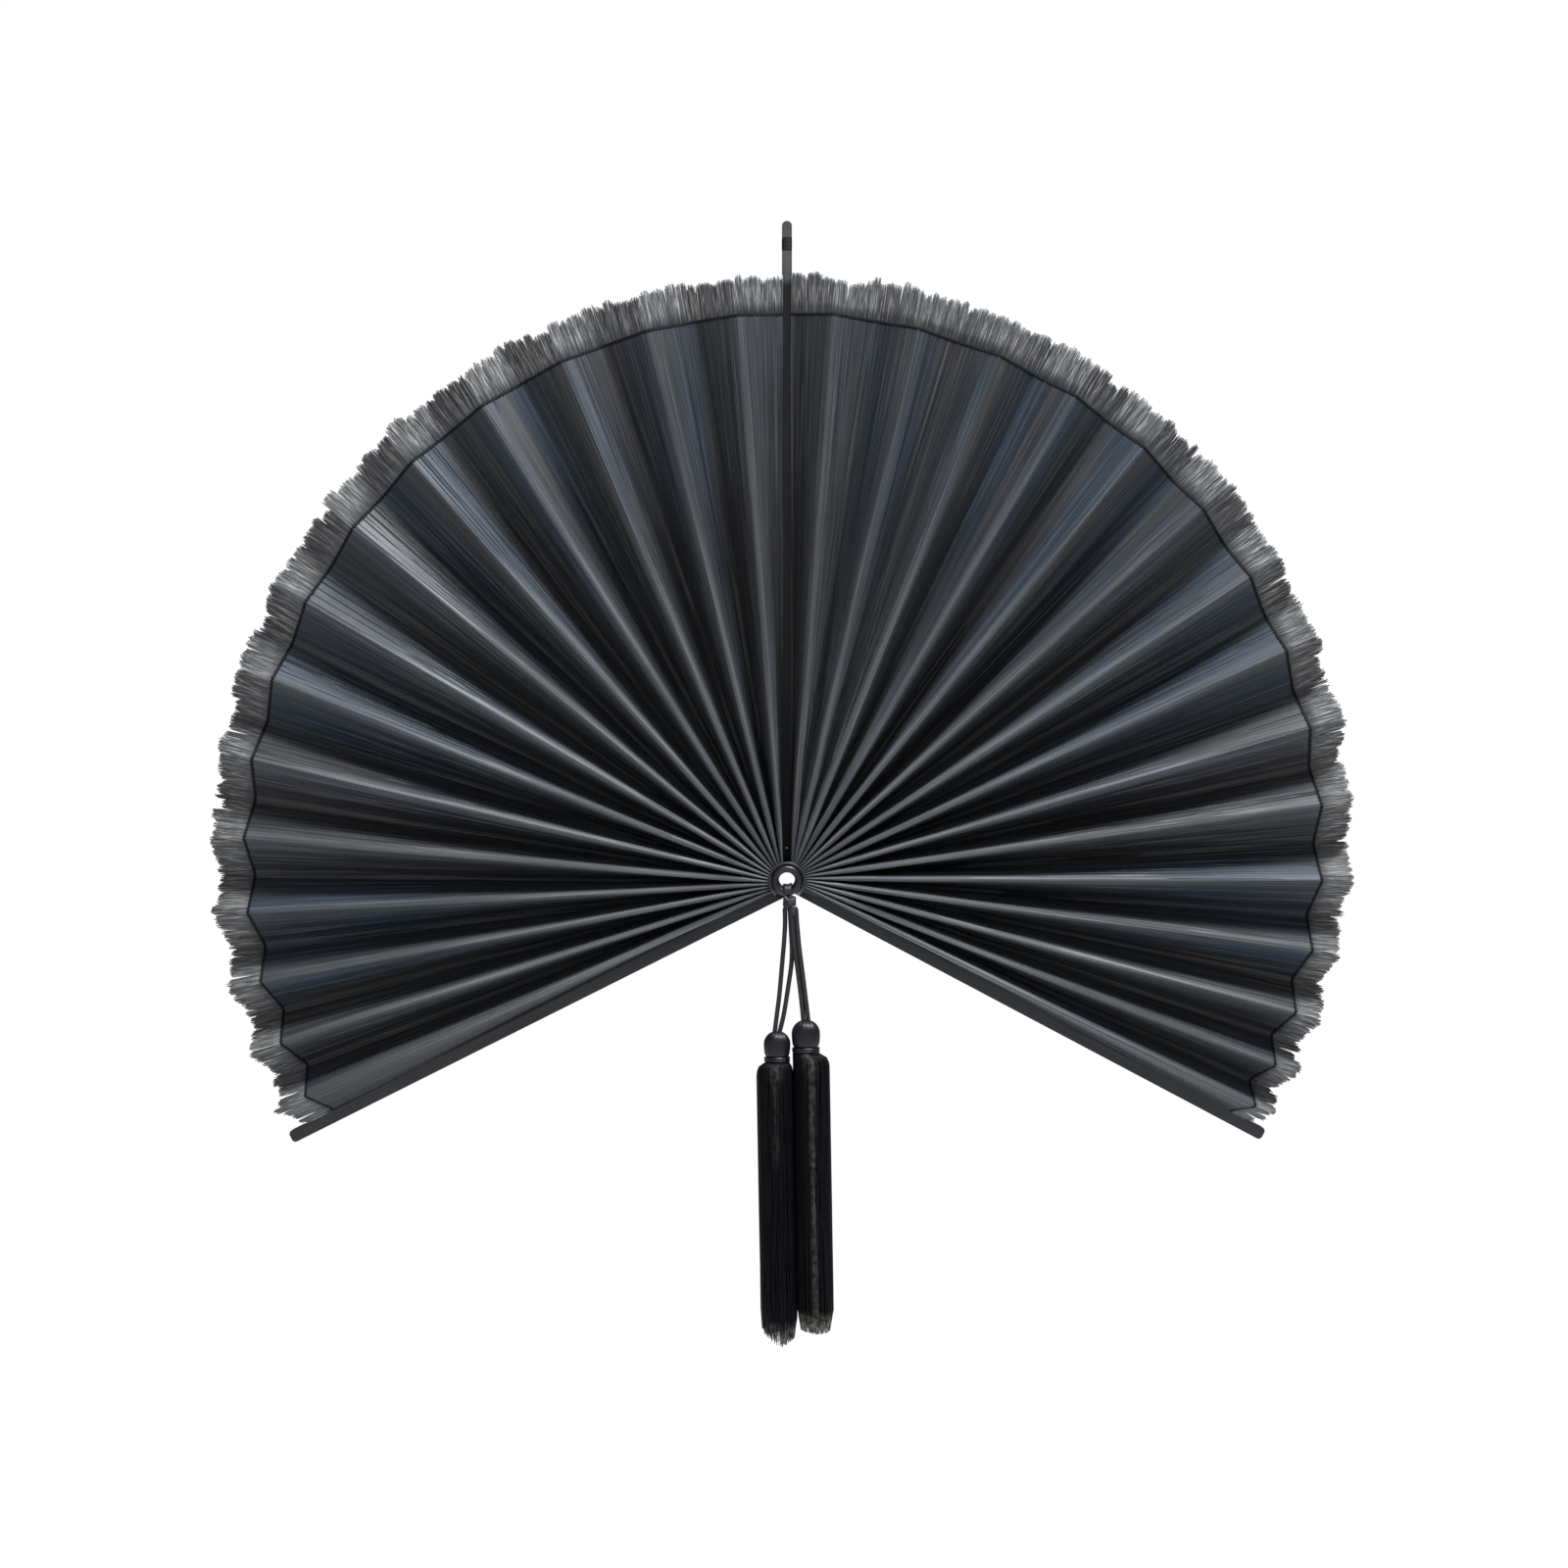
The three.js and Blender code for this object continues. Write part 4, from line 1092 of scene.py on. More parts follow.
def turned(name, profile, sides, material, centre=(0, 0)):
    """A shape turned on the hub's axis, or beside it: a ring for each (radius, y) of a closed profile."""
    profile = np.asarray(profile, float)
    turn = round_turn(sides)
    radius = profile[:, :1]
    x = centre[0] * MM + radius * np.cos(turn) * MM
    z = HUB_Z + centre[1] * MM + radius * np.sin(turn) * MM
    y = np.repeat(profile[:, 1:] * MM, sides, 1)
    points = np.stack([x, y, z], -1).reshape(-1, 3)
    faces = grid_faces(len(profile), sides, closed=True, looped=True)
    uv = pattern_places(turn * 10 * MM, lengths_along(profile)[:, None] * MM)
    return new_piece(name, points, [faces], material, uv, sharp=50)


PIN_PLACE = (0.0, 24.2)
PIN_PROFILE = [(0.02, -12.55), (0.55, -12.5), (1.05, -12.35), (1.4, -12.1), (1.5, -11.8), (1.5, -5.3),
               (0.02, -5.3)]
pin = turned("pin_head", PIN_PROFILE, 20, STEEL, PIN_PLACE)
settle(pin, "hub_and_stick", "pin_steel", "stick_pin")
print("pin in place")

# %% [markdown]
# The right guard is cut back beside its eye, so that it clears the upright stick when the fan
# is folded. A thin slip of wood bridges that cut at the front, under the edge of the last
# strip, which is glued down on it. It is a strip between two lines that meet at its outer end.

# %% The slip beside the hub


def glue_slip(side, start, length, inner, outer, front, back):
    """A slip of wood along the guard's line, in mm: its two edges, past that line by inner and outer, meet at
    the end, and its faces lie at front and back."""
    rows = 14
    t = np.linspace(0, 1, rows)
    along = start + length * t
    taper = np.sqrt(np.clip(1 - t**2.5, 0.0004, 1))
    edges = np.stack([inner + 0 * t, inner + (outer - inner) * taper], 1)
    way = GUARD_AZIMUTH[side]
    x = SIGN[side] * (along[:, None] * math.sin(way) + edges * math.cos(way))
    z = along[:, None] * math.cos(way) - edges * math.sin(way)
    flat = np.stack([x, z], -1).reshape(-1, 2)
    layers = [np.stack([flat[:, 0] * MM, np.full(len(flat), y * MM), flat[:, 1] * MM + HUB_Z], 1)
              for y in (front, back)]
    uv = pattern_places(edges * MM, along[:, None] * MM)
    return new_piece(f"{side}_glue_slip", np.concatenate(layers), shell_faces(rows, 2), GUARD_WOOD[side],
                     np.concatenate([uv, uv]))


slip = glue_slip("right", start=11.7, length=27.0, inner=-3.2, outer=2.6, front=-12.25, back=-11.95)
settle(slip, "right_guard", "stick_wood")
print("slip in place")

# %% [markdown]
# ## The hub
#
# The hub is a turned tube with a rolled lip at the front. The strips are gathered against it,
# and the wall shows through its bore. A profile carried round the axis gives the whole form:
# up the bore, over the lip in an even roll, back along the outside and down to the shank.

# %% Hub tube
LIP_RADIUS, LIP_Y, LIP_ROLL = 9.2, -53.5, 2.8  # the roll's middle ring, and its own radius, in mm
TUBE_RADIUS = 11.4
BORE_RADIUS = 6.4
GROOVES_Y = np.array([-50.6, -48.4, -46.2])
GROOVE_DEPTH, GROOVE_HALF = 0.25, 0.45
SHANK = [(11.2, -12.2), (7.6, -12.2), (7.4, -12.0), (7.4, -3.7), (7.2, -3.5), (6.6, -3.5),
         (BORE_RADIUS, -3.7)]


def hub_profile():
    """Rolled lip, outside with three turned grooves, shoulder, shank and bore, as (radius, y) in mm."""
    roll = np.linspace(-180, 0, 25) * math.pi / 180  # from the bore over the front to the outside
    lip = np.stack([LIP_RADIUS + LIP_ROLL * np.cos(roll), LIP_Y + LIP_ROLL * np.sin(roll)], 1)
    outside_y = np.linspace(-52.4, -12.4, 90)
    grooves = GROOVE_DEPTH * np.exp(-(((outside_y[:, None] - GROOVES_Y) / GROOVE_HALF) ** 2)).sum(1)
    outside = np.stack([TUBE_RADIUS - grooves, outside_y], 1)
    bore = np.stack([np.full(12, BORE_RADIUS), np.linspace(-6, -52, 12)], 1)
    return np.concatenate([lip, outside, SHANK, bore])


hub = turned("turned_hub", hub_profile(), 96, HUB)
settle(hub, "hub_and_stick", "hub_wood", "hub_tube")
print("hub of", len(hub.data.polygons), "faces")

# %% [markdown]
# ## Cords at the hub
#
# A cord runs round the front of the hub and holds the strips on edge. Another pair goes over
# the lip, through the bore and back under the sticks, and its ends are wrapped into a knot
# under the hub. All are twisted cord: a tube whose radius dips between the strands, with the
# dips turning along it.

# %% Gathering cord, hitch and knot


def at_hub(places):
    """Places in mm from the hub's axis, as places in the frame in metres."""
    return np.asarray(places, float) * MM + np.array([0, 0, HUB_Z])


def cord_piece(name, lines, radius, sides=12, lay=7 * MM, relief=0.22, material=CORD, wear_and_painted_light=None,
               pressed=None):
    """One piece of twisted cords that each follow a line, pressed out of round where they lie on a part."""
    points, faces, uv = joined([twisted_tube(line, radius, sides, lay, relief * radius) for line in lines])
    points = pressed(points) if pressed else points
    return new_piece(name, points, faces, material, uv, wear_and_painted_light=wear_and_painted_light(points) if wear_and_painted_light else None)


GATHERING_RADIUS = 13.8
GATHERING_Y = -54.6
GATHERING_CORD_RADIUS = 1.15


def gathering_line():
    """An arc round the hub from low left over the top to low right."""
    azimuth = np.radians(np.linspace(-143, 143, 260))
    return at_hub(np.stack([GATHERING_RADIUS * np.sin(azimuth), np.full(260, GATHERING_Y),
                            GATHERING_RADIUS * np.cos(azimuth)], 1))


gathering = cord_piece(
    "gathering_twist", [gathering_line()], GATHERING_CORD_RADIUS * MM, sides=10, lay=4.5 * MM,
    wear_and_painted_light=lambda p: smooth((HUB_Z - 6 * MM - p[:, 2]) / (5 * MM)),
)
settle(gathering, "hub_and_stick", "dark_cord", "gathering_cord")

HITCH_X = 0.5
HITCH_RADIUS = 1.5
SPREAD_IN_BORE, FLAT_IN_BORE = 1.22, 0.72
BORE_WALL = 6.35
KNOT_RADIUS = 1.45
KNOT_CORE_RADIUS = 3.0
HITCH_ROUTE = [
    (-58.4, -11.1), (-58.4, -8.4), (-57.03, -5.67), (-53.0, -4.05), (-40.1, -4.55),
    (-13.4, -4.55), (-3.5, -4.55), (-2.38, -5.03), (-1.9, -6.15), (-1.9, -12.4),
    (-3.3, -15.3), (-6.9, -15.8), (-26.75, -15.8), (-54.7, -15.5),
]


def hitch_line(x):
    """One of the hitch's cords, at its own distance from the middle."""
    return curve_through(at_hub([(HITCH_X + x, y, z) for y, z in HITCH_ROUTE]), 240)


def pressed_in_bore(points):
    """Inside the bore the cords are pressed flat against its wall: wider, lower, and following its round."""
    x, y, z = points[:, 0] / MM, points[:, 1] / MM, (points[:, 2] - HUB_Z) / MM
    share = smooth((y + 58.2) / 3.5) * smooth((z + 8.8) / 2.3)
    wider = HITCH_X + (x - HITCH_X) * SPREAD_IN_BORE
    floor = -np.sqrt(np.clip(BORE_WALL**2 - wider**2, 1, None))
    lower = floor + (z + 6.05) * FLAT_IN_BORE
    return np.stack([x + (wider - x) * share, y, z + (lower - z) * share + HUB_Z / MM], 1) * MM


hitch = cord_piece("hitch_twist", [hitch_line(step * HITCH_RADIUS) for step in (-1, 0, 1)], HITCH_RADIUS * MM,
                   lay=9 * MM, relief=0.06, pressed=pressed_in_bore)
settle(hitch, "hub_and_stick", "dark_cord", "cord_hitch")


def knot_lines():
    """A cord that goes round three times as it climbs, one that crosses it at a slant, and a core."""
    t = np.linspace(0, 1, 150)
    turn = 2 * np.pi * (3.1 * t + 0.4)
    climb = -19.2 + 6.3 * t + 0.9 * np.sin(turn)
    wraps = np.stack([2 + 3.9 * np.cos(turn), -58.4 + 2.05 * np.sin(turn), climb], 1)
    cross = curve_through([(5.6, -57.2, -19.4), (3.8, -60.9, -18.2), (1.2, -61.4, -15.6),
                           (-1.6, -60.2, -12.9), (-1.4, -57.4, -11.8)], 60)
    core = curve_through([(2, -58.4, -19.4), (2.1, -58.4, -16), (2, -58.4, -12.6)], 30)
    return at_hub(wraps), at_hub(cross), at_hub(core)


wraps, cross, core = knot_lines()
knot = cord_piece("knot_wraps", [wraps, cross], KNOT_RADIUS * MM, lay=9 * MM, relief=0.12)
knot_core = cord_piece("knot_core", [core], KNOT_CORE_RADIUS * MM, sides=20, relief=0.05)
for piece in (knot, knot_core):
    settle(piece, "hub_and_stick", "dark_cord", "cord_knot")
print("cords at the hub in place")

# %% [markdown]
# ### The binding on the stick
#
# Thread is wound tightly round the stick near its tip. It is one long thread that climbs a
# little with every turn, so its path is a helix pressed into the stick's section.

# %% Stick binding
STICK_MIDDLE_Y = -5.98
BINDING_TURNS = 9
BINDING_THREAD_RADIUS = 0.53


def rounded_plan(turn, wide, deep, wide_power, deep_power):
    """A rounded rectangle about the stick's middle: a cosine and a sine, each drawn out square by a power."""
    cosine, sine = np.cos(turn), np.sin(turn)
    x = wide * np.sign(cosine) * np.abs(cosine) ** wide_power
    return x, STICK_MIDDLE_Y + deep * np.sign(sine) * np.abs(sine) ** deep_power


def binding_line():
    """A helix round a rounded rectangle, with an even climb."""
    turn = np.linspace(0, 2 * np.pi * BINDING_TURNS, BINDING_TURNS * 40)
    x, y = rounded_plan(turn, 3.65, 5.4, 0.5, 0.45)
    return np.stack([x, y, np.linspace(-4.4, 4.4, len(turn))], 1) * MM


binding = cord_piece("wound_binding", [binding_line()], BINDING_THREAD_RADIUS * MM, sides=8, lay=2.2 * MM,
                     relief=0.12, material=BINDING)
settle(binding, "hub_and_stick", "dark_cord", "stick_binding")


def binding_core():
    """The stick's own wood under the thread: a rounded rectangle carried up."""
    x, y = rounded_plan(round_turn(40), 3.4, 5.2, 0.4, 0.4)
    heights = np.linspace(-4.9, 4.9, 3)[:, None]
    points = np.stack(np.broadcast_arrays(x, y, heights), -1).reshape(-1, 3) * MM
    return new_piece("stick_under_binding", points, tube_faces(3, 40), WOOD, points[:, [0, 2]])


under = binding_core()
settle(under, "hub_and_stick", "stick_wood", "stick_binding")
print("binding wound")

# %% [markdown]
# ## The tassels
#
# Each tassel hangs from the knot on a doubled cord. Its head is a ball covered in satin
# thread, its neck is bound, and its skirt is a thick bundle of threads, worn pale at the tips,
# with a painted highlight down its front. First come the measured facts: where the cords leave
# the knot, where the heads hang, and how long and wide each skirt is.

# %% Facts and cords of the tassels
TASSEL_Y = -58.4  # like all places of the tassels in mm from the hub's axis
LEG_RADIUS, BIGHT_RADIUS = 1.85, 1.84  # mm, over the strands' crowns
LEG_SPREAD = 1.9
BIGHT_Z = -22.6
# The last two facts of each tassel give a painted highlight down its skirt's front: how far down, and how
# strong
TASSELS = {
    "left": dict(x=-7.7, z=-127.6, ball=10.5, skirt_x=-9.6, lean=3.8, bottom=-363.5, rounded=24, slant=7,
                 bight=(0.3, 1.9), front_highlight_to=60, front_highlight=0.10),
    "right": dict(x=14.8, z=-119.5, ball=11.2, skirt_x=18.8, lean=3.8, bottom=-353.5, rounded=11, slant=2,
                  bight=(5.2, -1.9), front_highlight_to=200, front_highlight=0.22),
}
LEG_PLACES = {
    "left": (
        [(-1.5, 1.9, -34), (-2.3, 1.9, -48), (-3.5, 1.7, -62), (-5.8, 0.8, -88), (-7.9, 0.2, -105)],
        [(3.2, 1.9, -40), (3.9, 1.9, -54), (3.4, 1.7, -66), (1.0, 0.8, -83), (-2.4, 0.2, -104)],
    ),
    "right": (
        [(4.5, -1.9, -35), (6.1, -1.9, -52), (8.4, -1.5, -70), (11.1, -0.6, -92)],
        [(8.0, -1.9, -35), (9.6, -1.9, -52), (11.9, -1.5, -70), (14.6, -0.6, -92)],
    ),
}


def in_tassel_plane(places):
    """Places (x, behind, z) as places in the frame, in metres."""
    places = np.asarray(places, float)
    return at_hub(places + np.array([0, TASSEL_Y, 0]))


def leg_line(side, leg):
    """A leg's smooth line from the knot down to the ball."""
    facts, way = TASSELS[side], (-1, 1)[leg]
    start = (facts["bight"][0] + way * LEG_SPREAD, facts["bight"][1], BIGHT_Z)
    end = (facts["x"] + way * LEG_SPREAD, 0, facts["z"] + facts["ball"] - 1.2)
    return in_tassel_plane([start, *LEG_PLACES[side][leg], end])


def line_length(line):
    """The whole length of a line."""
    return float(lengths_along(line)[-1])


for side in TASSELS:
    for leg in (0, 1):
        line = curve_through(leg_line(side, leg), 170)
        piece = cord_piece(f"{side}_cord_{'ab'[leg]}", [line], LEG_RADIUS * MM, sides=16, lay=8 * MM,
                           relief=0.05)
        settle(piece, f"{side}_tassel_cord", "dark_cord", f"{side}_tassel_cord")
        print(piece.name, round(line_length(line) / MM, 1), "mm")

for side in TASSELS:
    x, behind = TASSELS[side]["bight"]
    turn = np.linspace(-0.25, np.pi + 0.25, 40)
    loop = np.stack([x - LEG_SPREAD * np.cos(turn), np.full(40, behind), BIGHT_Z + 1.5 * np.sin(turn)], 1)
    piece = cord_piece(f"{side}_bight", [in_tassel_plane(loop)], BIGHT_RADIUS * MM, sides=16, lay=8 * MM,
                       relief=0.05)
    settle(piece, f"{side}_tassel_cord", "dark_cord", f"{side}_tassel_cord")
print("cords hang")

# %% [markdown]
# ### Heads and necks
#
# The head is a sphere with a groove between every two threads, which fade at its poles. The
# neck is the same thread wound round and round, over a core so that nothing shows between.

# %% Heads and necks
NECK_DROP = 1.25
NECK_TURNS = 4
NECK_THREAD_RADIUS = 0.6
NECK_HALF = 1.5  # mm, half of the wound length
PAIRS_GAP, PAIRS_GAP_WIDE = 0.35, 0.12  # mm deep, and its share of the length
BALL_THREADS = 46
BALL_THREAD_RADIUS = 0.3
THREAD_DEPTH, THREAD_OWN = 0.28, 0.1  # mm, of the grooves and of each thread's own height
THREAD_SLANT = 0.25  # radians each way, from the middle to a pole
ROUND_ABOVE, FULL_BELOW = 0.92, 0.16  # powers of the sine


def thread_ball(side):
    """A ball of threads: a sphere above, fuller below where the threads go straight down to the neck."""
    facts = TASSELS[side]
    threads, each, rows = BALL_THREADS, 4, 34
    turn = round_turn(threads * each)
    tilt = np.linspace(0.0, np.pi, rows + 2)[1:-1, None]
    own = THREAD_OWN * np.repeat(dice.standard_normal(threads), each)
    dip = THREAD_DEPTH * np.abs(np.sin(threads * turn / 2)) ** 0.5 + own
    radius = facts["ball"] - BALL_THREAD_RADIUS + (dip - THREAD_DEPTH / 2) * np.sin(tilt)
    slant = turn + THREAD_SLANT * np.cos(tilt)
    plan = np.where(tilt < np.pi / 2, np.sin(tilt) ** ROUND_ABOVE, np.sin(tilt) ** FULL_BELOW)
    x = facts["x"] + radius * plan * np.cos(slant)
    y = radius * plan * np.sin(slant)
    z = facts["z"] + radius * np.cos(tilt) * np.ones_like(turn)
    rings = np.stack([x, y, z], -1).reshape(-1, 3)
    poles = [(facts["x"], 0, facts["z"] + way * (facts["ball"] - BALL_THREAD_RADIUS)) for way in (1, -1)]
    points = in_tassel_plane(np.concatenate([rings, poles]))
    sides, last = len(turn), (rows - 1) * len(turn)
    this, after = np.arange(sides), np.roll(np.arange(sides), -1)
    top = np.stack([after, this, np.full(sides, len(rings))], 1)
    low = np.stack([this + last, after + last, np.full(sides, len(rings) + 1)], 1)
    uv = pattern_places(turn * facts["ball"] * MM, tilt * facts["ball"] * MM)
    uv = np.concatenate([uv, [(0, 0), (0, facts["ball"] * math.pi * MM)]])
    return new_piece(f"{side}_head", points, [grid_faces(rows, sides, closed=True), top, low], HEAD, uv)


def upright_bulb(centre, radii, heights, sides, around=None):
    """A closed bulb of rings, each about its own middle x, as points, faces and pattern places."""
    turn = round_turn(sides)
    centre, radii, heights = (np.asarray(a, float).reshape(-1, 1) for a in (centre, radii, heights))
    x, y = centre + radii * np.cos(turn), radii * np.sin(turn)
    points = in_tassel_plane(np.stack(np.broadcast_arrays(x, y, heights), -1).reshape(-1, 3))
    uv = pattern_places(turn * (around or radii.max()) * MM, heights * MM)
    return points, tube_faces(len(radii), sides), uv


def neck(side):
    """Four turns of thread round the neck, in two pairs that stand a little apart."""
    facts = TASSELS[side]
    middle, outer = facts["z"] - (facts["ball"] + NECK_DROP), facts["ball"] - 0.2
    t = np.linspace(0, 1, NECK_TURNS * 56)
    turn = 2 * np.pi * NECK_TURNS * t
    reach = outer - 0.62 - PAIRS_GAP * np.exp(-(((t - 0.5) / PAIRS_GAP_WIDE) ** 2))
    climb = middle + NECK_HALF - 2 * NECK_HALF * t
    line = np.stack([facts["x"] + reach * np.cos(turn), reach * np.sin(turn), climb], 1)
    wound = twisted_tube(in_tassel_plane(line), NECK_THREAD_RADIUS * MM, sides=8, lay=3 * MM,
                         relief=0.08 * MM)
    radii = [6, outer - 0.9, outer - 0.9, 6]
    core = upright_bulb(facts["x"], radii, np.array([2, 1.7, -1.7, -2]) + middle, 40)
    points, faces, uv = joined([wound, core])
    return new_piece(f"{side}_neck", points, faces, HEAD, uv)


for side in TASSELS:
    for piece, node in ((thread_ball(side), f"{side}_tassel_ball"), (neck(side), f"{side}_neck_ring")):
        settle(piece, f"{side}_tassel", "satin_thread", node)
print("heads and necks made")

# %% [markdown]
# ### Skirts
#
# A skirt is two hundred and some threads that leave the neck, swell out over a shoulder, and
# hang down side by side. They lie in layers round a dark core, wander a little, and end at
# different lengths. Each thread is a long thin tube with few sides, because there are so many.

# %% Skirts
SKIRT_RADIUS = 14.2
SHOULDER = 11.0  # mm of drop until the skirt has its full radius
TIP_SHARE = 0.45  # of the radius, where the tips draw together
SKIRT_DROP = 2.45  # from the neck's middle to the skirt's top
THREADS = (88, 80, 70)  # in each layer, from the outside in
THREAD_RADII = (0.62, 0.60, 0.55)
WANDER = (0.05, 0.035, 0.02, 0.05)  # radians: a drift, two waves, and a spread at the tip
CLUMPING = 0.12  # radians at the tip
LAYER_STEP = 0.9  # mm from one layer of threads to the next one inside
LOBES, LOBE_DEPTH = 6, 0.25
WORN_TIP = 18  # mm
# Painted highlight on the front of the shoulder and down the front of the skirt
SHOULDER_HIGHLIGHT, SHOULDER_HIGHLIGHT_DROP = 0.12, 8
FRONT_HIGHLIGHT_HALF_ANGLE, SHOULDER_HALF_ANGLE = 0.15, 0.4


def skirt_span(facts):
    """The height of a skirt's top, and its length."""
    top = facts["z"] - (facts["ball"] + NECK_DROP) - SKIRT_DROP
    return top, top - facts["bottom"]


def skirt_centre(facts, drop, length):
    """A skirt's middle x and radius at a drop below its top: quarter-round shoulder, lean and round tip."""
    shoulder = np.clip(drop / SHOULDER, 0, 1)
    swell = np.sqrt(np.clip(1 - (1 - shoulder) ** 2, 0, 1))
    tip = np.clip(1 - (length - drop) / facts["rounded"], 0, 1)
    left = TIP_SHARE + (1 - TIP_SHARE) * np.sqrt(np.clip(1 - tip**2, 0, 1))
    centre = facts["x"] + (facts["skirt_x"] - facts["x"]) * swell + facts["lean"] * drop / length
    return centre, (facts["ball"] - 1 + (SKIRT_RADIUS - facts["ball"] + 1) * swell) * left


def skirt_wear_and_highlight(facts, angle, drop, length):
    """How pale a skirt's threads are: pale tips from wear, a painted highlight down the front, and a painted
    highlight on the shoulder.
    """
    from_front = np.angle(np.exp(1j * (angle + np.pi / 2)))
    tip = smooth((drop - length + WORN_TIP) / WORN_TIP) ** 1.3
    # Painted highlight down the skirt's front
    line = np.exp(-((from_front / FRONT_HIGHLIGHT_HALF_ANGLE) ** 2)) * (1 - smooth((drop - facts["front_highlight_to"]) / 30))
    # Painted highlight on the front of the shoulder
    shoulder = np.exp(-((drop - SHOULDER_HIGHLIGHT_DROP) / SHOULDER_HIGHLIGHT_DROP) ** 2)
    shoulder = SHOULDER_HIGHLIGHT * shoulder * np.exp(-((from_front / SHOULDER_HALF_ANGLE) ** 2))
    return np.clip(np.maximum(tip, facts["front_highlight"] * line + shoulder), 0, 1)


def skirt_threads(side, count, layer):
    """Threads of one layer: an angle that wanders down the skirt, and the skirt's radius less an inset."""
    facts = TASSELS[side]
    top, length = skirt_span(facts)
    rows = 18
    home = (np.arange(count) + 0.5 * (layer % 2)) / count * 2 * np.pi
    lobes = dice.standard_normal(7)
    clump = np.interp(home, np.linspace(0, 2 * np.pi, 8), np.append(lobes, lobes[0]))
    short = np.abs(0.05 * dice.standard_normal(count) + 0.16 * clump) * facts["rounded"]
    short = short + facts["slant"] * np.abs(np.cos(home) - 0.25)
    t = np.concatenate([np.linspace(0, 0.08, 6), np.linspace(0.08, 1, rows - 5)[1:]])[None, :]
    drop = t * (length - short)[:, None]
    wander = dice.standard_normal((count, 4)) * np.array(WANDER)
    waves = wander[:, 1:2] * np.sin(3.1 * np.pi * t) + wander[:, 2:3] * np.sin(7 * np.pi * t)
    angle = home[:, None] + wander[:, :1] * t + waves + (wander[:, 3:] + CLUMPING * clump[:, None]) * t**4
    centre, radius = skirt_centre(facts, drop, length)
    inset = 0.15 + LAYER_STEP * layer + 0.15 * np.abs(dice.standard_normal(count))[:, None] * (0.3 + t)
    lobed = np.sin(LOBES * angle + 1.3 * layer) ** 2 * smooth(drop / SHOULDER)
    reach = radius - inset - LOBE_DEPTH * lobed
    thick = THREAD_RADII[layer] * (1 - 0.45 * smooth((t - 0.97) / 0.03))
    corner = round_turn(4) + np.pi / 4
    outward = reach[..., None] + thick[..., None] * np.cos(corner)
    along = thick[..., None] * np.sin(corner)
    c, s = np.cos(angle)[..., None], np.sin(angle)[..., None]
    x = centre[..., None] + outward * c - along * s
    y = outward * s + along * c
    z = np.broadcast_to((top - drop)[..., None], x.shape)
    points = in_tassel_plane(np.stack([x, y, z], -1).reshape(-1, 3))
    uv = pattern_places(home[:, None, None] * 14 * MM + corner * 0.2 * MM, drop[..., None] * MM)
    wear_and_painted_light = np.broadcast_to(skirt_wear_and_highlight(facts, angle, drop, length)[..., None], x.shape)
    return (points, many_tube_faces(count, rows), uv), wear_and_painted_light.ravel()


def skirt_core(side):
    """The dark inside of the skirt, a little smaller than the layers of thread."""
    facts = TASSELS[side]
    top, length = skirt_span(facts)
    low = length - facts["rounded"] - 6
    drop = np.concatenate([np.linspace(0.2, SHOULDER, 8), np.linspace(SHOULDER + 4, low, 12)])
    centre, radius = skirt_centre(facts, drop, length)
    core = upright_bulb(centre, np.maximum(radius - 3.1, 4), top - drop, 32, around=10)
    return core, np.zeros(len(core[0]))


for side in TASSELS:
    made = [skirt_threads(side, count, layer) for layer, count in enumerate(THREADS)] + [skirt_core(side)]
    points, faces, uv = joined([part for part, _ in made])
    wear_and_painted_light = np.concatenate([wear for _, wear in made])
    skirt = new_piece(f"{side}_skirt_threads", points, faces, SATIN, uv, wear_and_painted_light=wear_and_painted_light)
    settle(skirt, f"{side}_tassel", "satin_thread", f"{side}_skirt")
    print(skirt.name, len(skirt.data.polygons), "faces")

# %% [markdown]
# ## Light, floor and background
#
# The photograph's light comes from a wide soft box high above, a little to the right and a
# metre before the wall. It rakes over the pleats: the flank that faces it is lit beside its
# ridge and fades into the valley, where the next ridge stands in the way. A faint lamp in
# front keeps the rest from going black. The background is plain white, which the world and
# the floor show to the camera alone, so that it adds no light.

# %% Light, floor and background
FLOOR_Z = -1.30  # well below the tassels, as under a fan on a wall
NEAR_WHITE = 0.86
FAR = 4.0  # metres from the object, by which the floor is all white


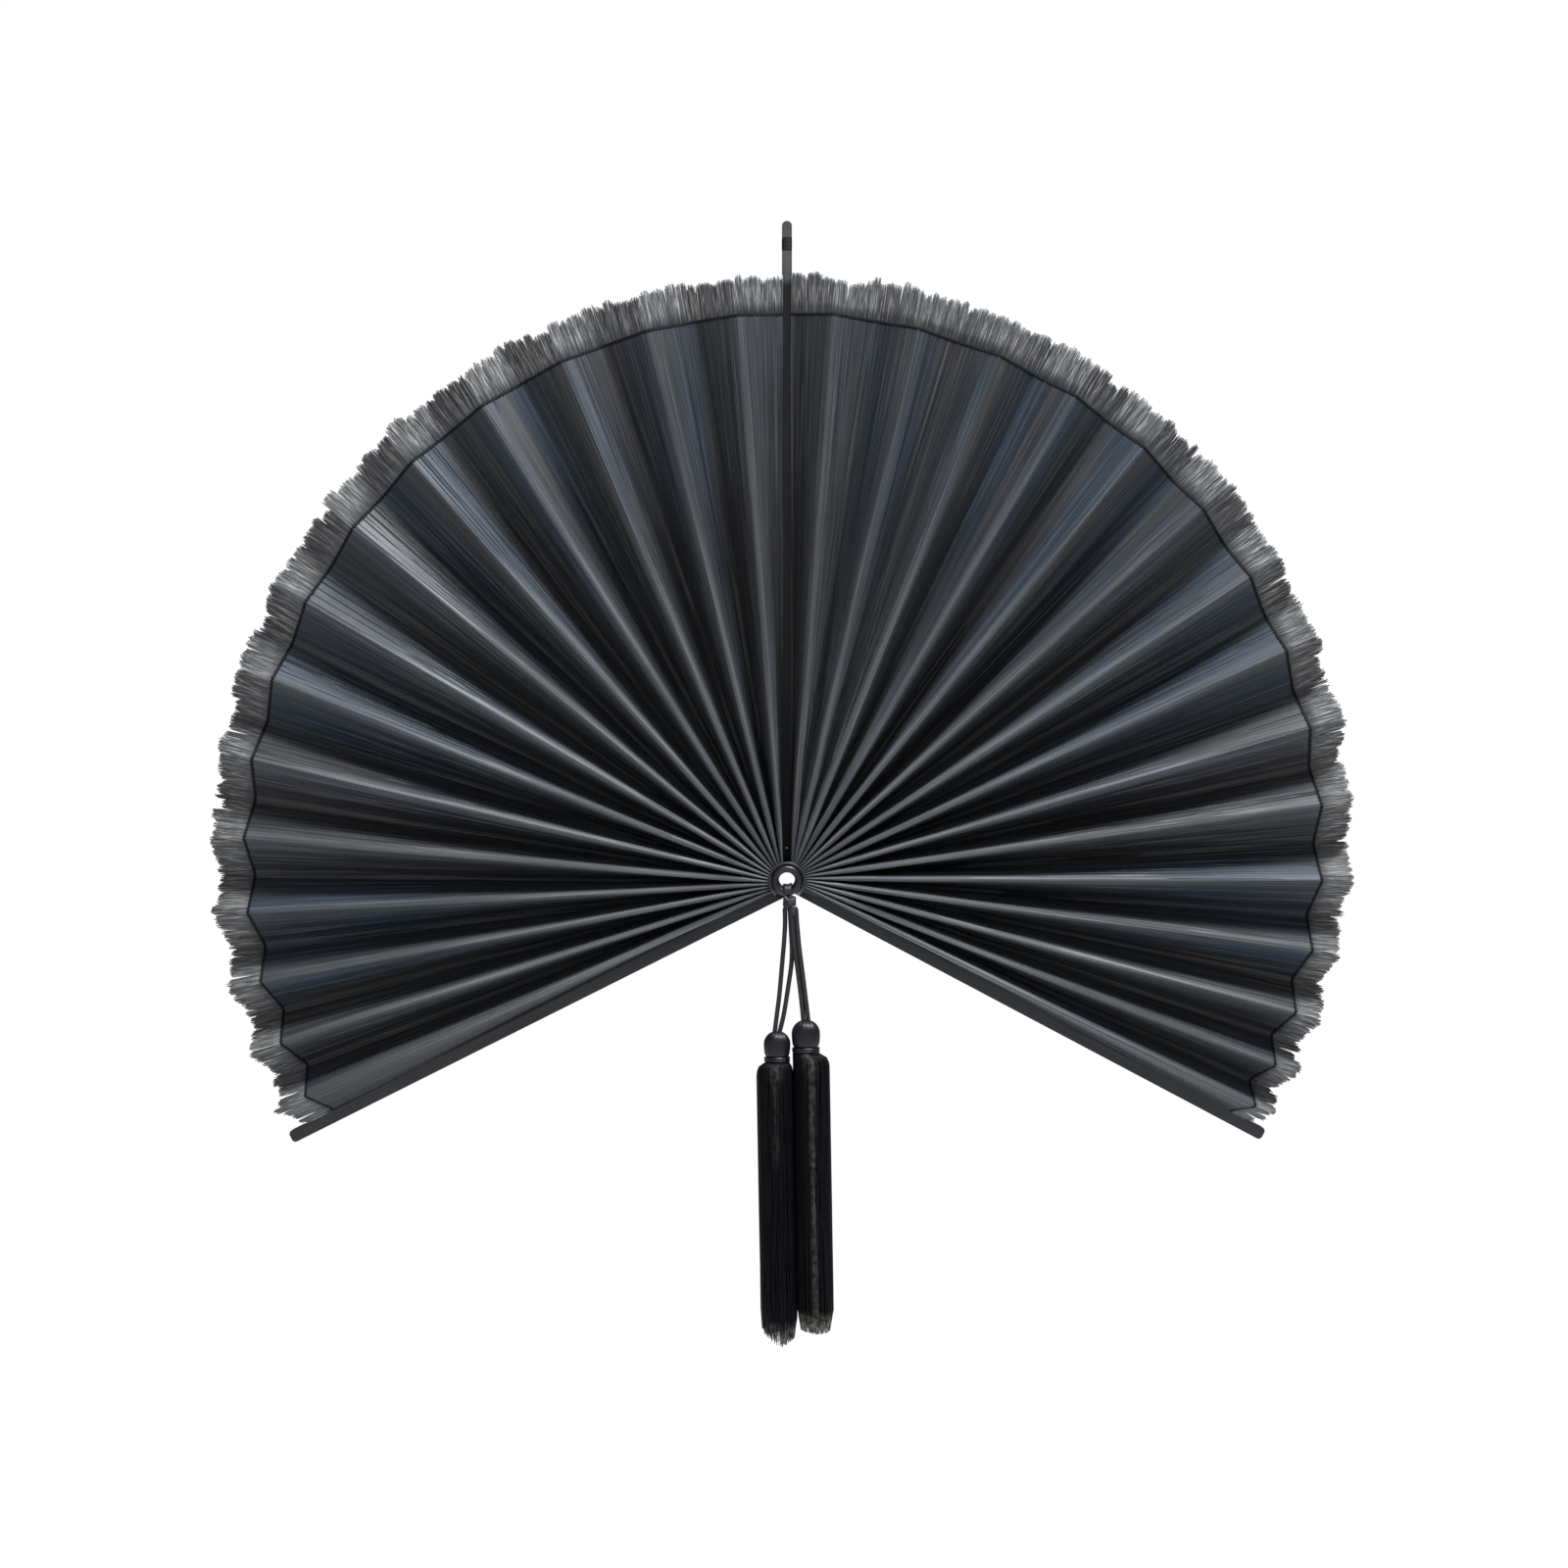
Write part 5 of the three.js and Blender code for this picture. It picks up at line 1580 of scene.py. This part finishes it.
def plain_floor():
    """A pale floor that shows the camera a plain white, with the object's soft shadow near the middle."""
    span = np.linspace(-15, 15, 13)
    x, y = np.meshgrid(span, span)
    points = np.stack([x, y, np.full(x.shape, FLOOR_Z)], -1).reshape(-1, 3)
    mesh = bpy.data.meshes.new("floor")
    mesh.from_pydata(points.tolist(), [], grid_faces(13, 13).tolist())
    floor = bpy.data.objects.new("floor", mesh)
    bpy.context.scene.collection.objects.link(floor)
    material, shader = new_finish("pale_floor", 0.9)
    shader.inputs["Base Color"].default_value = (0.9, 0.9, 0.9, 1)
    away = add_node(material, "ShaderNodeVectorMath", own_operation="LENGTH")
    wire(material, add_node(material, "ShaderNodeTexCoord").outputs["Object"], away.inputs[0])
    distance = product(material, away.outputs["Value"], 1 / FAR)
    white = ramp(material, distance, (0.15, grey(NEAR_WHITE)), (0.9, grey(1.0)))
    seen = add_node(material, "ShaderNodeLightPath").outputs["Is Camera Ray"]
    glow = add_node(material, "ShaderNodeEmission")
    wire(material, ranged(material, white, NEAR_WHITE, 1.0, 1.10, 1.0), glow.inputs["Strength"])
    mix = add_node(material, "ShaderNodeMixShader")
    wire(material, product(material, seen, white), mix.inputs[0])
    wire(material, shader.outputs[0], mix.inputs[1])
    wire(material, glow.outputs[0], mix.inputs[2])
    wire(material, mix.outputs[0], material.node_tree.nodes["Material Output"].inputs["Surface"])
    mesh.materials.append(material)


def soft_lamp(name, place, target, size, power, colour):
    """A flat lamp of a width and a height that faces a target."""
    data = bpy.data.lights.new(name, "AREA")
    data.shape = "RECTANGLE"
    data.size, data.size_y = size
    data.energy = power
    data.color = colour
    lamp = bpy.data.objects.new(name, data)
    lamp.location = place
    lamp.rotation_euler = (Vector(target) - Vector(place)).to_track_quat("-Z", "Y").to_euler()
    bpy.context.scene.collection.objects.link(lamp)


def studio_world(strength):
    """Plain white to the camera and to whatever passes through, and a low even light to all else."""
    world = bpy.data.worlds.new("studio")
    world.use_nodes = True
    background = world.node_tree.nodes["Background"]
    background.inputs["Color"].default_value = (1, 1, 1, 1)
    path = add_node(world, "ShaderNodeLightPath")
    seen = add_node(world, "ShaderNodeMath", own_operation="MAXIMUM")
    wire(world, path.outputs["Is Camera Ray"], seen.inputs[0])
    wire(world, path.outputs["Is Transmission Ray"], seen.inputs[1])
    wire(world, ranged(world, seen.outputs[0], 0.0, 1.0, to_low=strength), background.inputs["Strength"])
    bpy.context.scene.world = world


plain_floor()
studio_world(0.25)
soft_lamp("overhead", place=(0.85, -0.95, 2.70), target=(0, 0, -0.45), size=(1.6, 0.7), power=225,
          colour=(0.95, 0.975, 1.0))
soft_lamp("front", place=(-0.3, -2.6, 0.3), target=(0, 0, -0.5), size=(1.6, 1.6), power=8,
          colour=(1.0, 0.98, 0.95))
bpy.context.scene.view_settings.view_transform = "Standard"
print("lit")
